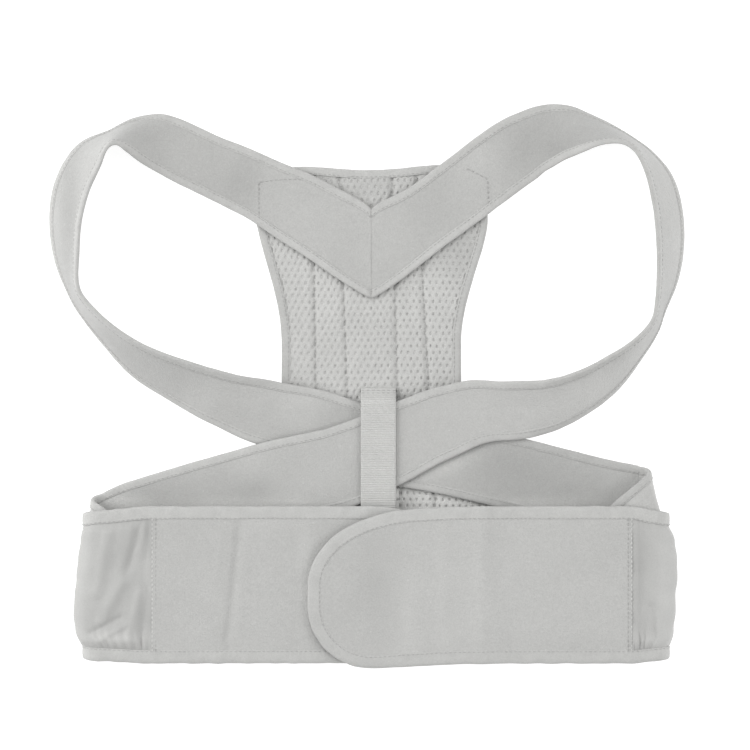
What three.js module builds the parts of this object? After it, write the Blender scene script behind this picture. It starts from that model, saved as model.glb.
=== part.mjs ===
// A posture corrector of light grey fabric, lying on its back panel with its waist belt closed on top.
// Millimetres, +Z up. The origin is the middle of the back panel's underside, +Y points to the shoulder end.
import * as THREE from "three";

// The back panel: padded mesh with stay channels
const PANEL_LENGTH = 346;
const PANEL_TOP_WIDTH = 166;
const PANEL_WAIST_WIDTH = 128;
const PANEL_FOOT_WIDTH = 200;
const PANEL_THICKNESS = 4.6;
const PANEL_BINDING_PROUD = 0.6;
const PANEL_CORNER_DROP = 7;
const PANEL_TOP_DIP = 1.7;
const PANEL_TOP_TILT = 1;
const CHANNEL_INNER_OFFSET = 18;
const CHANNEL_OUTER_OFFSET = 40;
const CHANNEL_GROOVE_WIDTH = 3;
const CHANNEL_GROOVE_DEPTH = 1.2;

// The two shoulder straps
const STRAP_WIDTH = 43;
const STRAP_THICKNESS = 2.4;
const STRAP_BINDING_WIDTH = 6.2;
const STRAP_BINDING_THICKNESS = 3.2;
const LOOP_REACH = 228;

// The webbing keeper over the strap crossing
const WEBBING_WIDTH = 25;
const WEBBING_THICKNESS = 1.6;
const WEBBING_OFFSET = 5;
const WEBBING_SEWN_END = 4;
const WEBBING_RAMP = 5.5;

// The waist belt, closed and lying flat
const BELT_WIDTH = 425;
const BELT_SHIFT = 3;
const BELT_HEIGHT = 111.2;
const BELT_LOFT = 24;
const BELT_PANEL_LENGTH = 229;
const BELT_PANEL_THICKNESS = 3;
const BELT_BINDING_WIDTH = 9.4;
const BELT_BINDING_THICKNESS = 3.4;
const BELT_BELOW_PANEL = 5.7;
const SEAM_FROM_LEFT_FOLD = 54.6;
const SEAM_FROM_RIGHT_FOLD = 31.4;
const TAB_TOP_ROUNDING_LENGTH = 75;
const TAB_TOP_ROUNDING_DEPTH = 53;
const TAB_BOTTOM_ROUNDING = 44;
const TAB_DROOP = 3;
const SIDE_FABRIC_THICKNESS = 1.6;
const EDGE_PULL = 3;
const FOLD_EDGE_PULL = 2;
const GATHER_DEPTH = 0.9;
const HOOK_PATCH_THICKNESS = 1.2;
const HOOK_PATCH_SIDE_MARGIN = 14;
const HOOK_PATCH_END_MARGIN = 26;

// Clearance between pieces that are sewn or lie together
const GAP = 0.4;

// Heights that follow from the layers
const HALF_LENGTH = PANEL_LENGTH / 2;
const PANEL_TOP = PANEL_THICKNESS + PANEL_BINDING_PROUD;
const BELT_BOTTOM_Y = -HALF_LENGTH - BELT_BELOW_PANEL;
const BELT_TOP_Y = BELT_BOTTOM_Y + BELT_HEIGHT;
const FRONT_MID = BELT_LOFT - BELT_BINDING_THICKNESS / 2;
const BACK_MID = BELT_BINDING_THICKNESS / 2;
// How high the underside of a strap lies on each thing that carries it
const REST = {
  floor: 0,
  panel: PANEL_TOP + GAP,
  strap: PANEL_TOP + STRAP_BINDING_THICKNESS + 2 * GAP,
  wing: BELT_BINDING_THICKNESS + GAP,
  front: BELT_LOFT - BELT_BINDING_THICKNESS - STRAP_BINDING_THICKNESS - GAP,
};
const WEBBING_HIGH = REST.strap + STRAP_BINDING_THICKNESS + GAP + WEBBING_THICKNESS / 2;
// In the overlap the left belt panel sags and the right one lies on the hook patch
const LEFT_SAG = 1.5;
const OVERLAP_STEP = BELT_PANEL_THICKNESS + HOOK_PATCH_THICKNESS + 2 * GAP;

const BELT_CENTRE_X = BELT_SHIFT;
const LEFT_FOLD_X = BELT_CENTRE_X - BELT_WIDTH / 2;
const RIGHT_FOLD_X = BELT_CENTRE_X + BELT_WIDTH / 2;
const LEFT_SEAM_X = LEFT_FOLD_X + SEAM_FROM_LEFT_FOLD;
const RIGHT_SEAM_X = RIGHT_FOLD_X - SEAM_FROM_RIGHT_FOLD;
const LEFT_PANEL_END_X = LEFT_SEAM_X + BELT_PANEL_LENGTH;
const RIGHT_PANEL_END_X = RIGHT_SEAM_X - BELT_PANEL_LENGTH;

const DEGREE = Math.PI / 180;
const lerp = (a, b, t) => a + (b - a) * t;
const clamp = (t) => Math.min(1, Math.max(0, t));
const smooth = (t) => clamp(t) ** 2 * (3 - 2 * clamp(t));
const steps = (count) => Array.from({ length: count + 1 }, (_, i) => i / count);

// A closed solid between two faces, each a grid of points with the same rows and columns
function solidBetween(face, back, isRing = false) {
  const rows = face.length;
  const columns = face[0].length;
  const index = [];
  const at = (side, i, j) => side * rows * columns + (i % rows) * columns + j;
  const quad = (a, b, c, d) => index.push(a, b, c, a, c, d);
  for (let i = 0; i < (isRing ? rows : rows - 1); i++) {
    for (let j = 0; j < columns - 1; j++) {
      quad(at(0, i, j), at(0, i + 1, j), at(0, i + 1, j + 1), at(0, i, j + 1));
      quad(at(1, i, j), at(1, i, j + 1), at(1, i + 1, j + 1), at(1, i + 1, j));
    }
    const last = columns - 1;
    quad(at(0, i, 0), at(1, i, 0), at(1, i + 1, 0), at(0, i + 1, 0));
    quad(at(0, i, last), at(0, i + 1, last), at(1, i + 1, last), at(1, i, last));
  }
  for (let j = 0; j < columns - 1 && !isRing; j++) {
    const end = rows - 1;
    quad(at(0, 0, j), at(0, 0, j + 1), at(1, 0, j + 1), at(1, 0, j));
    quad(at(0, end, j), at(1, end, j), at(1, end, j + 1), at(0, end, j + 1));
  }
  const geometry = new THREE.BufferGeometry();
  const points = [...face.flat(), ...back.flat()];
  geometry.setAttribute("position", new THREE.Float32BufferAttribute(points.flatMap((p) => p.toArray()), 3));
  geometry.setIndex(index);
  geometry.computeVertexNormals();
  return geometry;
}

// A wall of even thickness about a grid of points
function wall(grid, thickness, isRing = false) {
  const rows = grid.length;
  const columns = grid[0].length;
  const pick = (i, j) => {
    const row = isRing ? (i + rows) % rows : Math.min(rows - 1, Math.max(0, i));
    return grid[row][Math.min(columns - 1, Math.max(0, j))];
  };
  const offset = (half) =>
    grid.map((line, i) =>
      line.map((point, j) => {
        const along = pick(i + 1, j).clone().sub(pick(i - 1, j));
        const across = pick(i, j + 1).clone().sub(pick(i, j - 1));
        return point.clone().addScaledVector(along.cross(across).normalize(), half);
      })
    );
  return solidBetween(offset(thickness / 2), offset(-thickness / 2), isRing);
}

// How far down towards the waist each side of the panel stays straight
const STRAIGHT_SHARE = { left: 0.27, right: 0.33 };

// Half the back panel's width at height y, on one side
function panelHalfWidth(y, side) {
  const straightShare = STRAIGHT_SHARE[side];
  const waistY = HALF_LENGTH * 0.28;
  const down = (HALF_LENGTH - y) / (HALF_LENGTH - waistY);
  const bent = clamp((down - straightShare) / (1 - straightShare));
  const narrowing = (Math.sin((Math.PI / 2) * bent) + smooth(bent)) / 2;
  const flareStartY = 0.02 * HALF_LENGTH;
  const flareEndY = BELT_TOP_Y + 0.15 * BELT_HEIGHT;
  const flare = smooth((flareStartY - y) / (flareStartY - flareEndY));
  const upper = lerp(PANEL_TOP_WIDTH, PANEL_WAIST_WIDTH, narrowing);
  return lerp(upper, PANEL_FOOT_WIDTH, flare) / 2;
}

// The panel's top edge dips in the middle, tilts a little and drops at the corners
function panelTopY(share) {
  const crest = 0.5 * PANEL_CORNER_DROP;
  const wave = crest * Math.sin(0.75 * Math.PI * Math.abs(share)) ** 2;
  const corner = PANEL_CORNER_DROP * Math.abs(share) ** 6;
  return HALF_LENGTH - PANEL_TOP_DIP + PANEL_TOP_TILT * share + wave - corner;
}

// The panel's rows run from its top edge, 0, to its foot, 1, and its columns from side to side, -1 to 1
const PANEL_ROWS = steps(18);
const PANEL_EDGE_COLUMNS = steps(12).map((t) => 2 * t - 1);
const panelRowY = (down) => lerp(HALF_LENGTH, -HALF_LENGTH, down);
const topShift = (share, down) => (panelTopY(share) - HALF_LENGTH) * (1 - smooth(down / 0.12));

// The panel's edge, set in by the given distance: its right side, foot, left side and top
function panelOutline(inset) {
  const between = PANEL_EDGE_COLUMNS.slice(1, -1);
  const points = [
    ...PANEL_ROWS.map((down) => [1, down]),
    ...between.map((share) => [-share, 1]),
    ...PANEL_ROWS.map((down) => [-1, 1 - down]),
    ...between.map((share) => [share, 0]),
  ].map(([share, down]) => {
    const y = panelRowY(down);
    const side = share < 0 ? "left" : "right";
    return new THREE.Vector2(share * panelHalfWidth(y, side), y + topShift(share, down));
  });
  return points.map((point, i) => {
    const before = points[(i + points.length - 1) % points.length];
    const after = points[(i + 1) % points.length];
    const first = point.clone().sub(before).normalize();
    const second = after.clone().sub(point).normalize();
    // Both neighbouring edges move in by the same distance
    const inward = new THREE.Vector2(first.y + second.y, -first.x - second.x);
    return point.clone().addScaledVector(inward, inset / (1 + first.dot(second)));
  });
}

function backPanel() {
  const groove = CHANNEL_GROOVE_WIDTH / 2;
  const crown = 0.4;
  const lines = [-CHANNEL_OUTER_OFFSET, -CHANNEL_INNER_OFFSET, CHANNEL_INNER_OFFSET, CHANNEL_OUTER_OFFSET];
  // Each column: where it lies across the panel, and how far its top lies from the panel's thickness
  const columns = lines.flatMap((x, i) => [
    ...(i ? [{ x: (lines[i - 1] + x) / 2, rise: crown }] : []),
    { x: x - groove, rise: 0 },
    { x, rise: -CHANNEL_GROOVE_DEPTH },
    { x: x + groove, rise: 0 },
  ]);
  const outline = panelOutline(STRAP_BINDING_WIDTH + GAP);
  const rows = PANEL_ROWS.length;
  const right = outline.slice(0, rows);
  const leftStart = rows + PANEL_EDGE_COLUMNS.length - 2;
  const left = outline.slice(leftStart, leftStart + rows).reverse();
  const topEdge = [...outline.slice(1 - PANEL_EDGE_COLUMNS.length), outline[0]];
  const topEdgeY = (x) => {
    const after = topEdge.slice(1, -1).findIndex((point) => point.x >= x);
    const i = after < 0 ? topEdge.length - 1 : after + 1;
    const [a, b] = [topEdge[i - 1], topEdge[i]];
    return lerp(a.y, b.y, (x - a.x) / (b.x - a.x));
  };
  const face = (height) =>
    PANEL_ROWS.map((down, i) => {
      const row = [{ x: left[i].x, rise: 0 }, ...columns, { x: right[i].x, rise: 0 }];
      return row.map(({ x, rise }) => {
        const widening = right[0].x / right[i].x;
        const bow = (topEdgeY(x * widening) - right[0].y) * (1 - smooth(down / 0.12));
        return new THREE.Vector3(x, right[i].y + bow, height(rise));
      });
    });
  return solidBetween(face((rise) => PANEL_THICKNESS + rise), face(() => 0));
}

function backPanelBinding() {
  const outer = panelOutline(0);
  const inner = panelOutline(STRAP_BINDING_WIDTH);
  const face = (z) =>
    outer.map((p, i) => [new THREE.Vector3(p.x, p.y, z), new THREE.Vector3(inner[i].x, inner[i].y, z)]);
  return solidBetween(face(0), face(PANEL_TOP), true);
}

// Places along each strap, from the middle seam of the yoke round the arm loop to the crossing.
// x is a share of LOOP_REACH and y of half the panel's length. across is the plan direction, in degrees,
// from the loop-side edge to the outer edge. lean is how far the strap stands up on its outer edge. width is
// a share of STRAP_WIDTH, and lift is the outer edge's height as a share of what rest names.
const LEFT_LOOP = [
  { x: 0.0, y: 0.644, across: 90, lean: 0, width: 1.48, rest: "panel", lift: 1 },
  { x: -0.191, y: 0.802, across: 60, lean: 0, width: 1.23, rest: "panel", lift: 1 },
  { x: -0.37, y: 0.928, across: 63, lean: 0, width: 1.06, rest: "panel", lift: 1 },
  { x: -0.525, y: 1.02, across: 65, lean: 3, width: 1, rest: "panel", lift: 0.8 },
  { x: -0.649, y: 1.098, across: 70, lean: 16, width: 1, rest: "panel", lift: 0.4 },
  { x: -0.728, y: 1.135, across: 68, lean: 45, width: 1, rest: "floor", lift: 1 },
  { x: -0.807, y: 1.118, across: 108, lean: 73, width: 1, rest: "floor", lift: 1 },
  { x: -0.878, y: 1.045, across: 141, lean: 54, width: 1, rest: "floor", lift: 1 },
  { x: -0.929, y: 0.922, across: 171, lean: 48.5, width: 1, rest: "floor", lift: 1 },
  { x: -0.95, y: 0.775, across: 180, lean: 54, width: 1, rest: "floor", lift: 1 },
  { x: -0.945, y: 0.627, across: 190, lean: 62.5, width: 1, rest: "floor", lift: 1 },
  { x: -0.926, y: 0.502, across: 200, lean: 75, width: 1, rest: "floor", lift: 1 },
  { x: -0.892, y: 0.42, across: 219, lean: 75, width: 1, rest: "floor", lift: 1 },
  { x: -0.814, y: 0.305, across: 236, lean: 68.5, width: 1, rest: "floor", lift: 1 },
  { x: -0.721, y: 0.202, across: 241, lean: 56, width: 1, rest: "floor", lift: 1 },
  { x: -0.595, y: 0.119, across: 244, lean: 44, width: 1, rest: "panel", lift: 0.2 },
  { x: -0.465, y: 0.047, across: 249, lean: 26, width: 1, rest: "panel", lift: 1 },
  { x: -0.33, y: -0.009, across: 252, lean: 8, width: 1.09, rest: "panel", lift: 1 },
  { x: -0.165, y: -0.06, across: 252, lean: 0, width: 1.15, rest: "panel", lift: 1 },
  { x: 0.028, y: -0.149, across: 255, lean: 0, width: 1.19, rest: "panel", lift: 1 },
  { x: 0.217, y: -0.194, across: 256, lean: 0, width: 1.19, rest: "panel", lift: 1 },
];
const RIGHT_LOOP = [
  { x: 0.0, y: 0.644, across: 90, lean: 0, width: 1.48, rest: "panel", lift: 1 },
  { x: 0.19, y: 0.811, across: 121, lean: 0, width: 1.13, rest: "panel", lift: 1 },
  { x: 0.42, y: 1.038, across: 126, lean: 0, width: 1.14, rest: "panel", lift: 1 },
  { x: 0.518, y: 1.114, across: 109, lean: 6, width: 1.07, rest: "panel", lift: 0.8 },
  { x: 0.602, y: 1.149, across: 100, lean: 23, width: 1, rest: "panel", lift: 0.4 },
  { x: 0.685, y: 1.145, across: 88, lean: 54, width: 1, rest: "floor", lift: 1 },
  { x: 0.758, y: 1.127, across: 73, lean: 72, width: 1, rest: "floor", lift: 1 },
  { x: 0.811, y: 1.093, across: 58, lean: 77, width: 1, rest: "floor", lift: 1 },
  { x: 0.857, y: 1.034, across: 40, lean: 71, width: 1, rest: "floor", lift: 1 },
  { x: 0.9, y: 0.938, across: 18, lean: 61, width: 1, rest: "floor", lift: 1 },
  { x: 0.923, y: 0.806, across: 6, lean: 58, width: 1, rest: "floor", lift: 1 },
  { x: 0.928, y: 0.673, across: -4, lean: 60, width: 1, rest: "floor", lift: 1 },
  { x: 0.919, y: 0.546, across: -15, lean: 66, width: 1, rest: "floor", lift: 1 },
  { x: 0.897, y: 0.426, across: -26, lean: 76, width: 1, rest: "floor", lift: 1 },
  { x: 0.878, y: 0.342, across: -40, lean: 77, width: 1, rest: "floor", lift: 1 },
  { x: 0.822, y: 0.244, across: -62, lean: 69, width: 1, rest: "floor", lift: 1 },
  { x: 0.747, y: 0.15, across: -67, lean: 54, width: 1, rest: "floor", lift: 1 },
  { x: 0.658, y: 0.075, across: -71, lean: 44.5, width: 1, rest: "strap", lift: 0.25 },
  { x: 0.557, y: 0.022, across: -76, lean: 32, width: 1, rest: "strap", lift: 0.7 },
  { x: 0.44, y: 0, across: -75, lean: 14, width: 1.02, rest: "strap", lift: 1 },
  { x: 0.328, y: -0.004, across: -67, lean: 0, width: 1.09, rest: "strap", lift: 1 },
  { x: 0.194, y: -0.065, across: -68, lean: 0, width: 1.2, rest: "strap", lift: 1 },
  { x: 0.053, y: -0.151, across: -75, lean: 0, width: 1.31, rest: "strap", lift: 1 },
];
// The tails run on from the crossing to the belt's sides. x is a share of half the belt's width from its
// middle, and y a share of the belt's height below its top edge.
const LEFT_STRAP_TAIL = [
  { x: 0.494, y: -0.187, across: 256, lean: 0, width: 1.22, rest: "panel", lift: 1 },
  { x: 0.72, y: -0.07, across: 258, lean: 0, width: 1.25, rest: "wing", lift: 1 },
  { x: 0.855, y: -0.012, across: 265, lean: 0, width: 1.28, rest: "wing", lift: 1 },
];
const RIGHT_STRAP_TAIL = [
  { x: -0.117, y: -0.242, across: -74.5, lean: 0, width: 1.37, rest: "strap", lift: 1 },
  { x: -0.317, y: -0.158, across: -75, lean: 0, width: 1.37, rest: "strap", lift: 1.1 },
  { x: -0.553, y: -0.038, across: -76, lean: 0, width: 1.34, rest: "panel", lift: 0.9 },
  { x: -0.76, y: 0.076, across: -80, lean: 0, width: 1.33, rest: "wing", lift: 1 },
  { x: -0.872, y: 0.142, across: -88, lean: 0, width: 1.33, rest: "wing", lift: 1 },
];
// How each tail turns over inside the belt's side: its apex, the slant of its fold, its drift down the fold,
// and where it ends, sewn under the front panel
const LEFT_STRAP_TURN = {
  side: 1,
  apex: { x: 0.942, y: 0.032, across: 282, width: 1.36 },
  drift: 0.08,
  end: { x: 0.8, y: 0.3, across: 306, width: 1.25 },
};
const RIGHT_STRAP_TURN = {
  side: -1,
  apex: { x: -0.955, y: 0.222, across: -94, width: 1.38 },
  drift: 0.075,
  end: { x: -0.7, y: 0.56, across: -112, width: 1.3 },
};

const loopRow = (row) => ({
  ...row,
  x: row.x * LOOP_REACH,
  y: row.y * HALF_LENGTH,
  under: REST[row.rest] * row.lift,
});
const tailRow = (row) => ({
  ...row,
  x: BELT_CENTRE_X + (row.x * BELT_WIDTH) / 2,
  y: BELT_TOP_Y - row.y * BELT_HEIGHT,
  under: REST[row.rest] * row.lift,
});

// The rows round a tail's half turn, from lying on the wing to lying under the front panel
function turnRows({ side, apex, drift, end }) {
  const radius = (REST.front - REST.wing) / 2;
  const top = tailRow({ ...apex, lean: 0, rest: "wing", lift: 1 });
  const axis = new THREE.Vector2(Math.cos(apex.across * DEGREE), Math.sin(apex.across * DEGREE));
  const outward = new THREE.Vector2(-axis.y, axis.x).multiplyScalar(side);
  const turned = steps(4).map((share) => {
    const out = radius * (Math.sin(share * Math.PI) - 1);
    const down = drift * BELT_HEIGHT * (share - 0.5);
    const x = top.x + outward.x * out + axis.x * down;
    const y = top.y + outward.y * out + axis.y * down;
    return { ...top, x, y, under: REST.wing + radius * (1 - Math.cos(share * Math.PI)) };
  });
  const from = turned[turned.length - 1];
  const sewn = tailRow({ ...end, lean: 0, rest: "front", lift: 1 });
  const between = (key, t) => lerp(from[key], sewn[key], t);
  const run = [0.15, 0.45, 1].map((t) => ({
    ...sewn,
    x: between("x", t),
    y: between("y", t),
    across: between("across", smooth(t)),
    width: between("width", t),
  }));
  return [...turned, ...run];
}

// A value between the two middle ones of four, on a smooth curve through them all
function spline(a, b, c, d, t) {
  return 0.5 * (2 * b + (c - a) * t + (2 * a - 5 * b + 4 * c - d) * t ** 2 + (3 * (b - c) + d - a) * t ** 3);
}

// Finely spaced places along a strap, each with its middle, its direction across and its width
function strapPlaces(rows, perRow) {
  const places = [];
  for (let i = 0; i < rows.length - 1; i++) {
    const [a, b, c, d] = [-1, 0, 1, 2].map((k) => rows[Math.min(rows.length - 1, Math.max(0, i + k))]);
    const isLast = i === rows.length - 2;
    for (let k = 0; k < perRow + (isLast ? 1 : 0); k++) {
      const t = k / perRow;
      const curved = (key) => spline(a[key], b[key], c[key], d[key], t);
      const across = curved("across") * DEGREE;
      const lean = Math.max(0, curved("lean")) * DEGREE;
      const width = lerp(b.width, c.width, smooth(t)) * STRAP_WIDTH;
      const under = lerp(b.under, c.under, b.lean || c.lean || b.under === c.under ? smooth(t) : t);
      const height = under + (STRAP_BINDING_THICKNESS / 2) * Math.cos(lean) + (width / 2) * Math.sin(lean);
      places.push({
        middle: new THREE.Vector3(curved("x"), curved("y"), height),
        across: new THREE.Vector3(
          Math.cos(across) * Math.cos(lean),
          Math.sin(across) * Math.cos(lean),
          -Math.sin(lean)
        ),
        width,
      });
    }
  }
  return places;
}

const PLACES_PER_ROW = 2;
const strapRows = (loop, tail, turn) => [...loop.map(loopRow), ...tail.map(tailRow), ...turnRows(turn)];
const leftRows = strapRows(LEFT_LOOP, LEFT_STRAP_TAIL, LEFT_STRAP_TURN);
const rightRows = strapRows(RIGHT_LOOP, RIGHT_STRAP_TAIL, RIGHT_STRAP_TURN);
leftRows[0].x = -GAP / 2;
rightRows[0].x = GAP / 2;
const STRAPS = {
  left: strapPlaces(leftRows, PLACES_PER_ROW),
  right: strapPlaces(rightRows, PLACES_PER_ROW),
};

// A strip of a strap between two distances from its loop-side edge. A distance below zero is from the outer
// edge.
function strapStrip(side, from, to, columns, thickness) {
  const grid = STRAPS[side].map(({ middle, across, width }) =>
    steps(columns).map((share) => {
      const start = from < 0 ? width + from : from;
      const end = to <= 0 ? width + to : to;
      return middle.clone().addScaledVector(across, lerp(start, end, share) - width / 2);
    })
  );
  return wall(grid, thickness);
}

const strapCore = (side) =>
  strapStrip(side, STRAP_BINDING_WIDTH + GAP, -STRAP_BINDING_WIDTH - GAP, 2, STRAP_THICKNESS);
const innerStrapBinding = (side) => strapStrip(side, 0, STRAP_BINDING_WIDTH, 1, STRAP_BINDING_THICKNESS);
const outerStrapBinding = (side) => strapStrip(side, -STRAP_BINDING_WIDTH, 0, 1, STRAP_BINDING_THICKNESS);

// The keeper: sewn to the panel above and below the crossing, and bridging both straps
function webbingKeeper() {
  const low = PANEL_TOP + GAP + WEBBING_THICKNESS / 2;
  const topY = 0.0925 * HALF_LENGTH;
  const bottomY = BELT_TOP_Y - 0.155 * BELT_HEIGHT;
  const path = [
    [topY, low],
    [topY - WEBBING_SEWN_END, low],
    [topY - WEBBING_SEWN_END - WEBBING_RAMP / 2, (low + WEBBING_HIGH) / 2],
    [topY - WEBBING_SEWN_END - WEBBING_RAMP, WEBBING_HIGH],
    [bottomY + WEBBING_SEWN_END + WEBBING_RAMP, WEBBING_HIGH],
    [bottomY + WEBBING_SEWN_END + WEBBING_RAMP / 2, (low + WEBBING_HIGH) / 2],
    [bottomY + WEBBING_SEWN_END, low],
    [bottomY, low],
  ];
  const half = WEBBING_WIDTH / 2;
  const grid = path.map(([y, z]) => [-half, half].map((x) => new THREE.Vector3(WEBBING_OFFSET + x, y, z)));
  return wall(grid, WEBBING_THICKNESS);
}

// Height of each belt panel's middle surface, and how far it droops, at x
const leftPanelZ = (x) => FRONT_MID - LEFT_SAG * smooth((x - LEFT_SEAM_X) / (0.45 * BELT_PANEL_LENGTH));
const rightPanelZ = (x) => {
  const raised = FRONT_MID - LEFT_SAG + OVERLAP_STEP;
  return lerp(raised, FRONT_MID, smooth((x - LEFT_PANEL_END_X) / (0.12 * BELT_PANEL_LENGTH)));
};
const rightDroop = (x) => TAB_DROOP * smooth((LEFT_PANEL_END_X - x) / (0.35 * BELT_PANEL_LENGTH));

// A belt panel's edge, set in by the given distance: each column's x, and how far its upper and its lower
// edge lie from the belt's middle line
function beltColumns(seamX, endX, inset) {
  const direction = Math.sign(endX - seamX);
  const half = BELT_HEIGHT / 2;
  const arc = (distance, length, depth) => {
    const past = clamp((length - inset - distance) / (length - inset));
    return half - depth + (depth - inset) * Math.sqrt(1 - past * past);
  };
  const column = (distance) => ({
    x: endX - direction * (inset + distance),
    up: arc(distance, TAB_TOP_ROUNDING_LENGTH, TAB_TOP_ROUNDING_DEPTH),
    down: arc(distance, TAB_BOTTOM_ROUNDING, TAB_BOTTOM_ROUNDING),
  });
  const reach = Math.abs(endX - seamX) - inset;
  const rounded = TAB_TOP_ROUNDING_LENGTH - inset;
  const straight = steps(7).map((t) => column(lerp(reach, rounded, t)));
  const end = steps(9).slice(1).map((t) => column(rounded * (1 - Math.sin((t * Math.PI) / 2))));
  return [...straight, ...end];
}
const BELT_MIDDLE_Y = (BELT_TOP_Y + BELT_BOTTOM_Y) / 2;
const BELT_PANELS = {
  left: { seamX: LEFT_SEAM_X, endX: LEFT_PANEL_END_X, side: -1, height: leftPanelZ, droop: () => 0 },
  right: { seamX: RIGHT_SEAM_X, endX: RIGHT_PANEL_END_X, side: 1, height: rightPanelZ, droop: rightDroop },
};

function beltPanel(side) {
  const { seamX, endX, height, droop } = BELT_PANELS[side];
  const seamGap = (Math.sign(endX - seamX) * GAP) / 2;
  const columns = beltColumns(seamX + seamGap, endX, BELT_BINDING_WIDTH + GAP);
  const grid = columns.map(({ x, up, down }) =>
    steps(4).map((t) => new THREE.Vector3(x, BELT_MIDDLE_Y - droop(x) + lerp(-down, up, t), height(x)))
  );
  return wall(grid, BELT_PANEL_THICKNESS);
}

// How far the fold at each belt side stands out of line, in shares of BELT_LOFT, from the belt's top to its
// bottom
const FOLD_BULGE = {
  left: [-0.25, -0.18, -0.1, -0.06, 0.0, 0.03, -0.03, -0.25],
  right: [-0.22, -0.06, 0.02, 0.03, -0.03, -0.03, -0.1, -0.22],
};
// Folds in the side fabric: from and to a place, as shares of the way from the seam to the fold and from the
// top to the bottom, with their height and half width as shares of BELT_LOFT
const SIDE_FOLDS = {
  left: [
    { fromU: 0.62, fromV: 0.12, toU: 0.9, toV: 0.75, height: 0.09, spread: 0.28 },
    { fromU: 0.08, fromV: 0.5, toU: 0.85, toV: 0.86, height: 0.08, spread: 0.2 },
    { fromU: 0.22, fromV: 0.05, toU: 0.28, toV: 0.34, height: 0.07, spread: 0.16 },
  ],
  right: [
    { fromU: 0.55, fromV: 0.1, toU: 0.75, toV: 0.8, height: 0.08, spread: 0.24 },
    { fromU: 0.35, fromV: 0.78, toU: 0.5, toV: 0.98, height: 0.08, spread: 0.16 },
  ],
};

// A table's value at a share of its length
function tableAt(values, share) {
  const place = clamp(share) * (values.length - 1);
  const i = Math.min(values.length - 2, Math.floor(place));
  return lerp(values[i], values[i + 1], smooth(place - i));
}

function foldHeight(folds, u, v, reach) {
  let height = 0;
  for (const fold of folds) {
    const line = new THREE.Vector2((fold.toU - fold.fromU) * reach, (fold.toV - fold.fromV) * BELT_HEIGHT);
    const from = new THREE.Vector2((u - fold.fromU) * reach, (v - fold.fromV) * BELT_HEIGHT);
    const along = clamp(from.dot(line) / line.lengthSq());
    const away = from.addScaledVector(line, -along).length() / (fold.spread * BELT_LOFT);
    height += fold.height * BELT_LOFT * Math.exp(-away * away);
  }
  return height;
}

const FRONT_COLUMNS = { left: 12, right: 7 };
const TURN_COLUMNS = 6;
// The path round a belt side, seen from the end: from the front seam round the fold to the back panel's edge.
// Each place gives the share of the way to the fold, or past it, and a function of the fold's x for its x
// and z.
function sidePath(side) {
  const { seamX, side: direction } = BELT_PANELS[side];
  const radius = (FRONT_MID - BACK_MID) / 2;
  const wingEnd = direction * (PANEL_FOOT_WIDTH / 2 + GAP);
  const startX = seamX + (direction * GAP) / 2;
  const front = steps(FRONT_COLUMNS[side]).map((u) => ({
    u,
    x: (foldX) => lerp(startX, foldX - direction * radius, u),
    z: FRONT_MID,
    pull: smooth(u),
  }));
  const turn = steps(TURN_COLUMNS).slice(1).map((t) => ({
    u: 1 + t,
    x: (foldX) => foldX - direction * radius * (1 - Math.sin(t * Math.PI)),
    z: BACK_MID + radius * (1 + Math.cos(t * Math.PI)),
    pull: 1 + (FOLD_EDGE_PULL / EDGE_PULL) * Math.sin(t * Math.PI),
  }));
  const back = steps(4).slice(1).map((t) => ({
    u: 2 + t,
    x: (foldX) => lerp(foldX - direction * radius, wingEnd, t),
    z: BACK_MID,
    pull: 1 - smooth(t),
  }));
  return [...front, ...turn, ...back];
}

const foldX = (side, v) => {
  const nominal = side === "left" ? LEFT_FOLD_X : RIGHT_FOLD_X;
  return nominal + BELT_PANELS[side].side * tableAt(FOLD_BULGE[side], v) * BELT_LOFT;
};

function sidePanel(side) {
  const path = sidePath(side);
  const inset = BELT_BINDING_WIDTH + GAP;
  const reach = Math.abs(foldX(side, 0.5) - BELT_PANELS[side].seamX);
  const grid = steps(12).map((v) =>
    path.map((place, j) => {
      const top = BELT_TOP_Y - EDGE_PULL * place.pull - inset;
      const bottom = BELT_BOTTOM_Y + EDGE_PULL * 0.5 * place.pull + inset;
      const isFront = place.u <= 1;
      const hem = Math.sin(Math.PI * v);
      const fade = Math.sin(Math.PI * place.u) * hem;
      const folds = isFront ? foldHeight(SIDE_FOLDS[side], place.u, v, reach) * fade : 0;
      const isRaised = isFront && j > 0 && j % 2 === 1;
      const nearEdge = Math.max(1 - v / 0.15, 1 - (1 - v) / 0.2, 0) * (v > 0 && v < 1 ? 1 : 0);
      const gather = isRaised ? GATHER_DEPTH * nearEdge : 0;
      return new THREE.Vector3(place.x(foldX(side, v)), lerp(top, bottom, v), place.z + folds + gather);
    })
  );
  return wall(grid, SIDE_FABRIC_THICKNESS);
}

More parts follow.
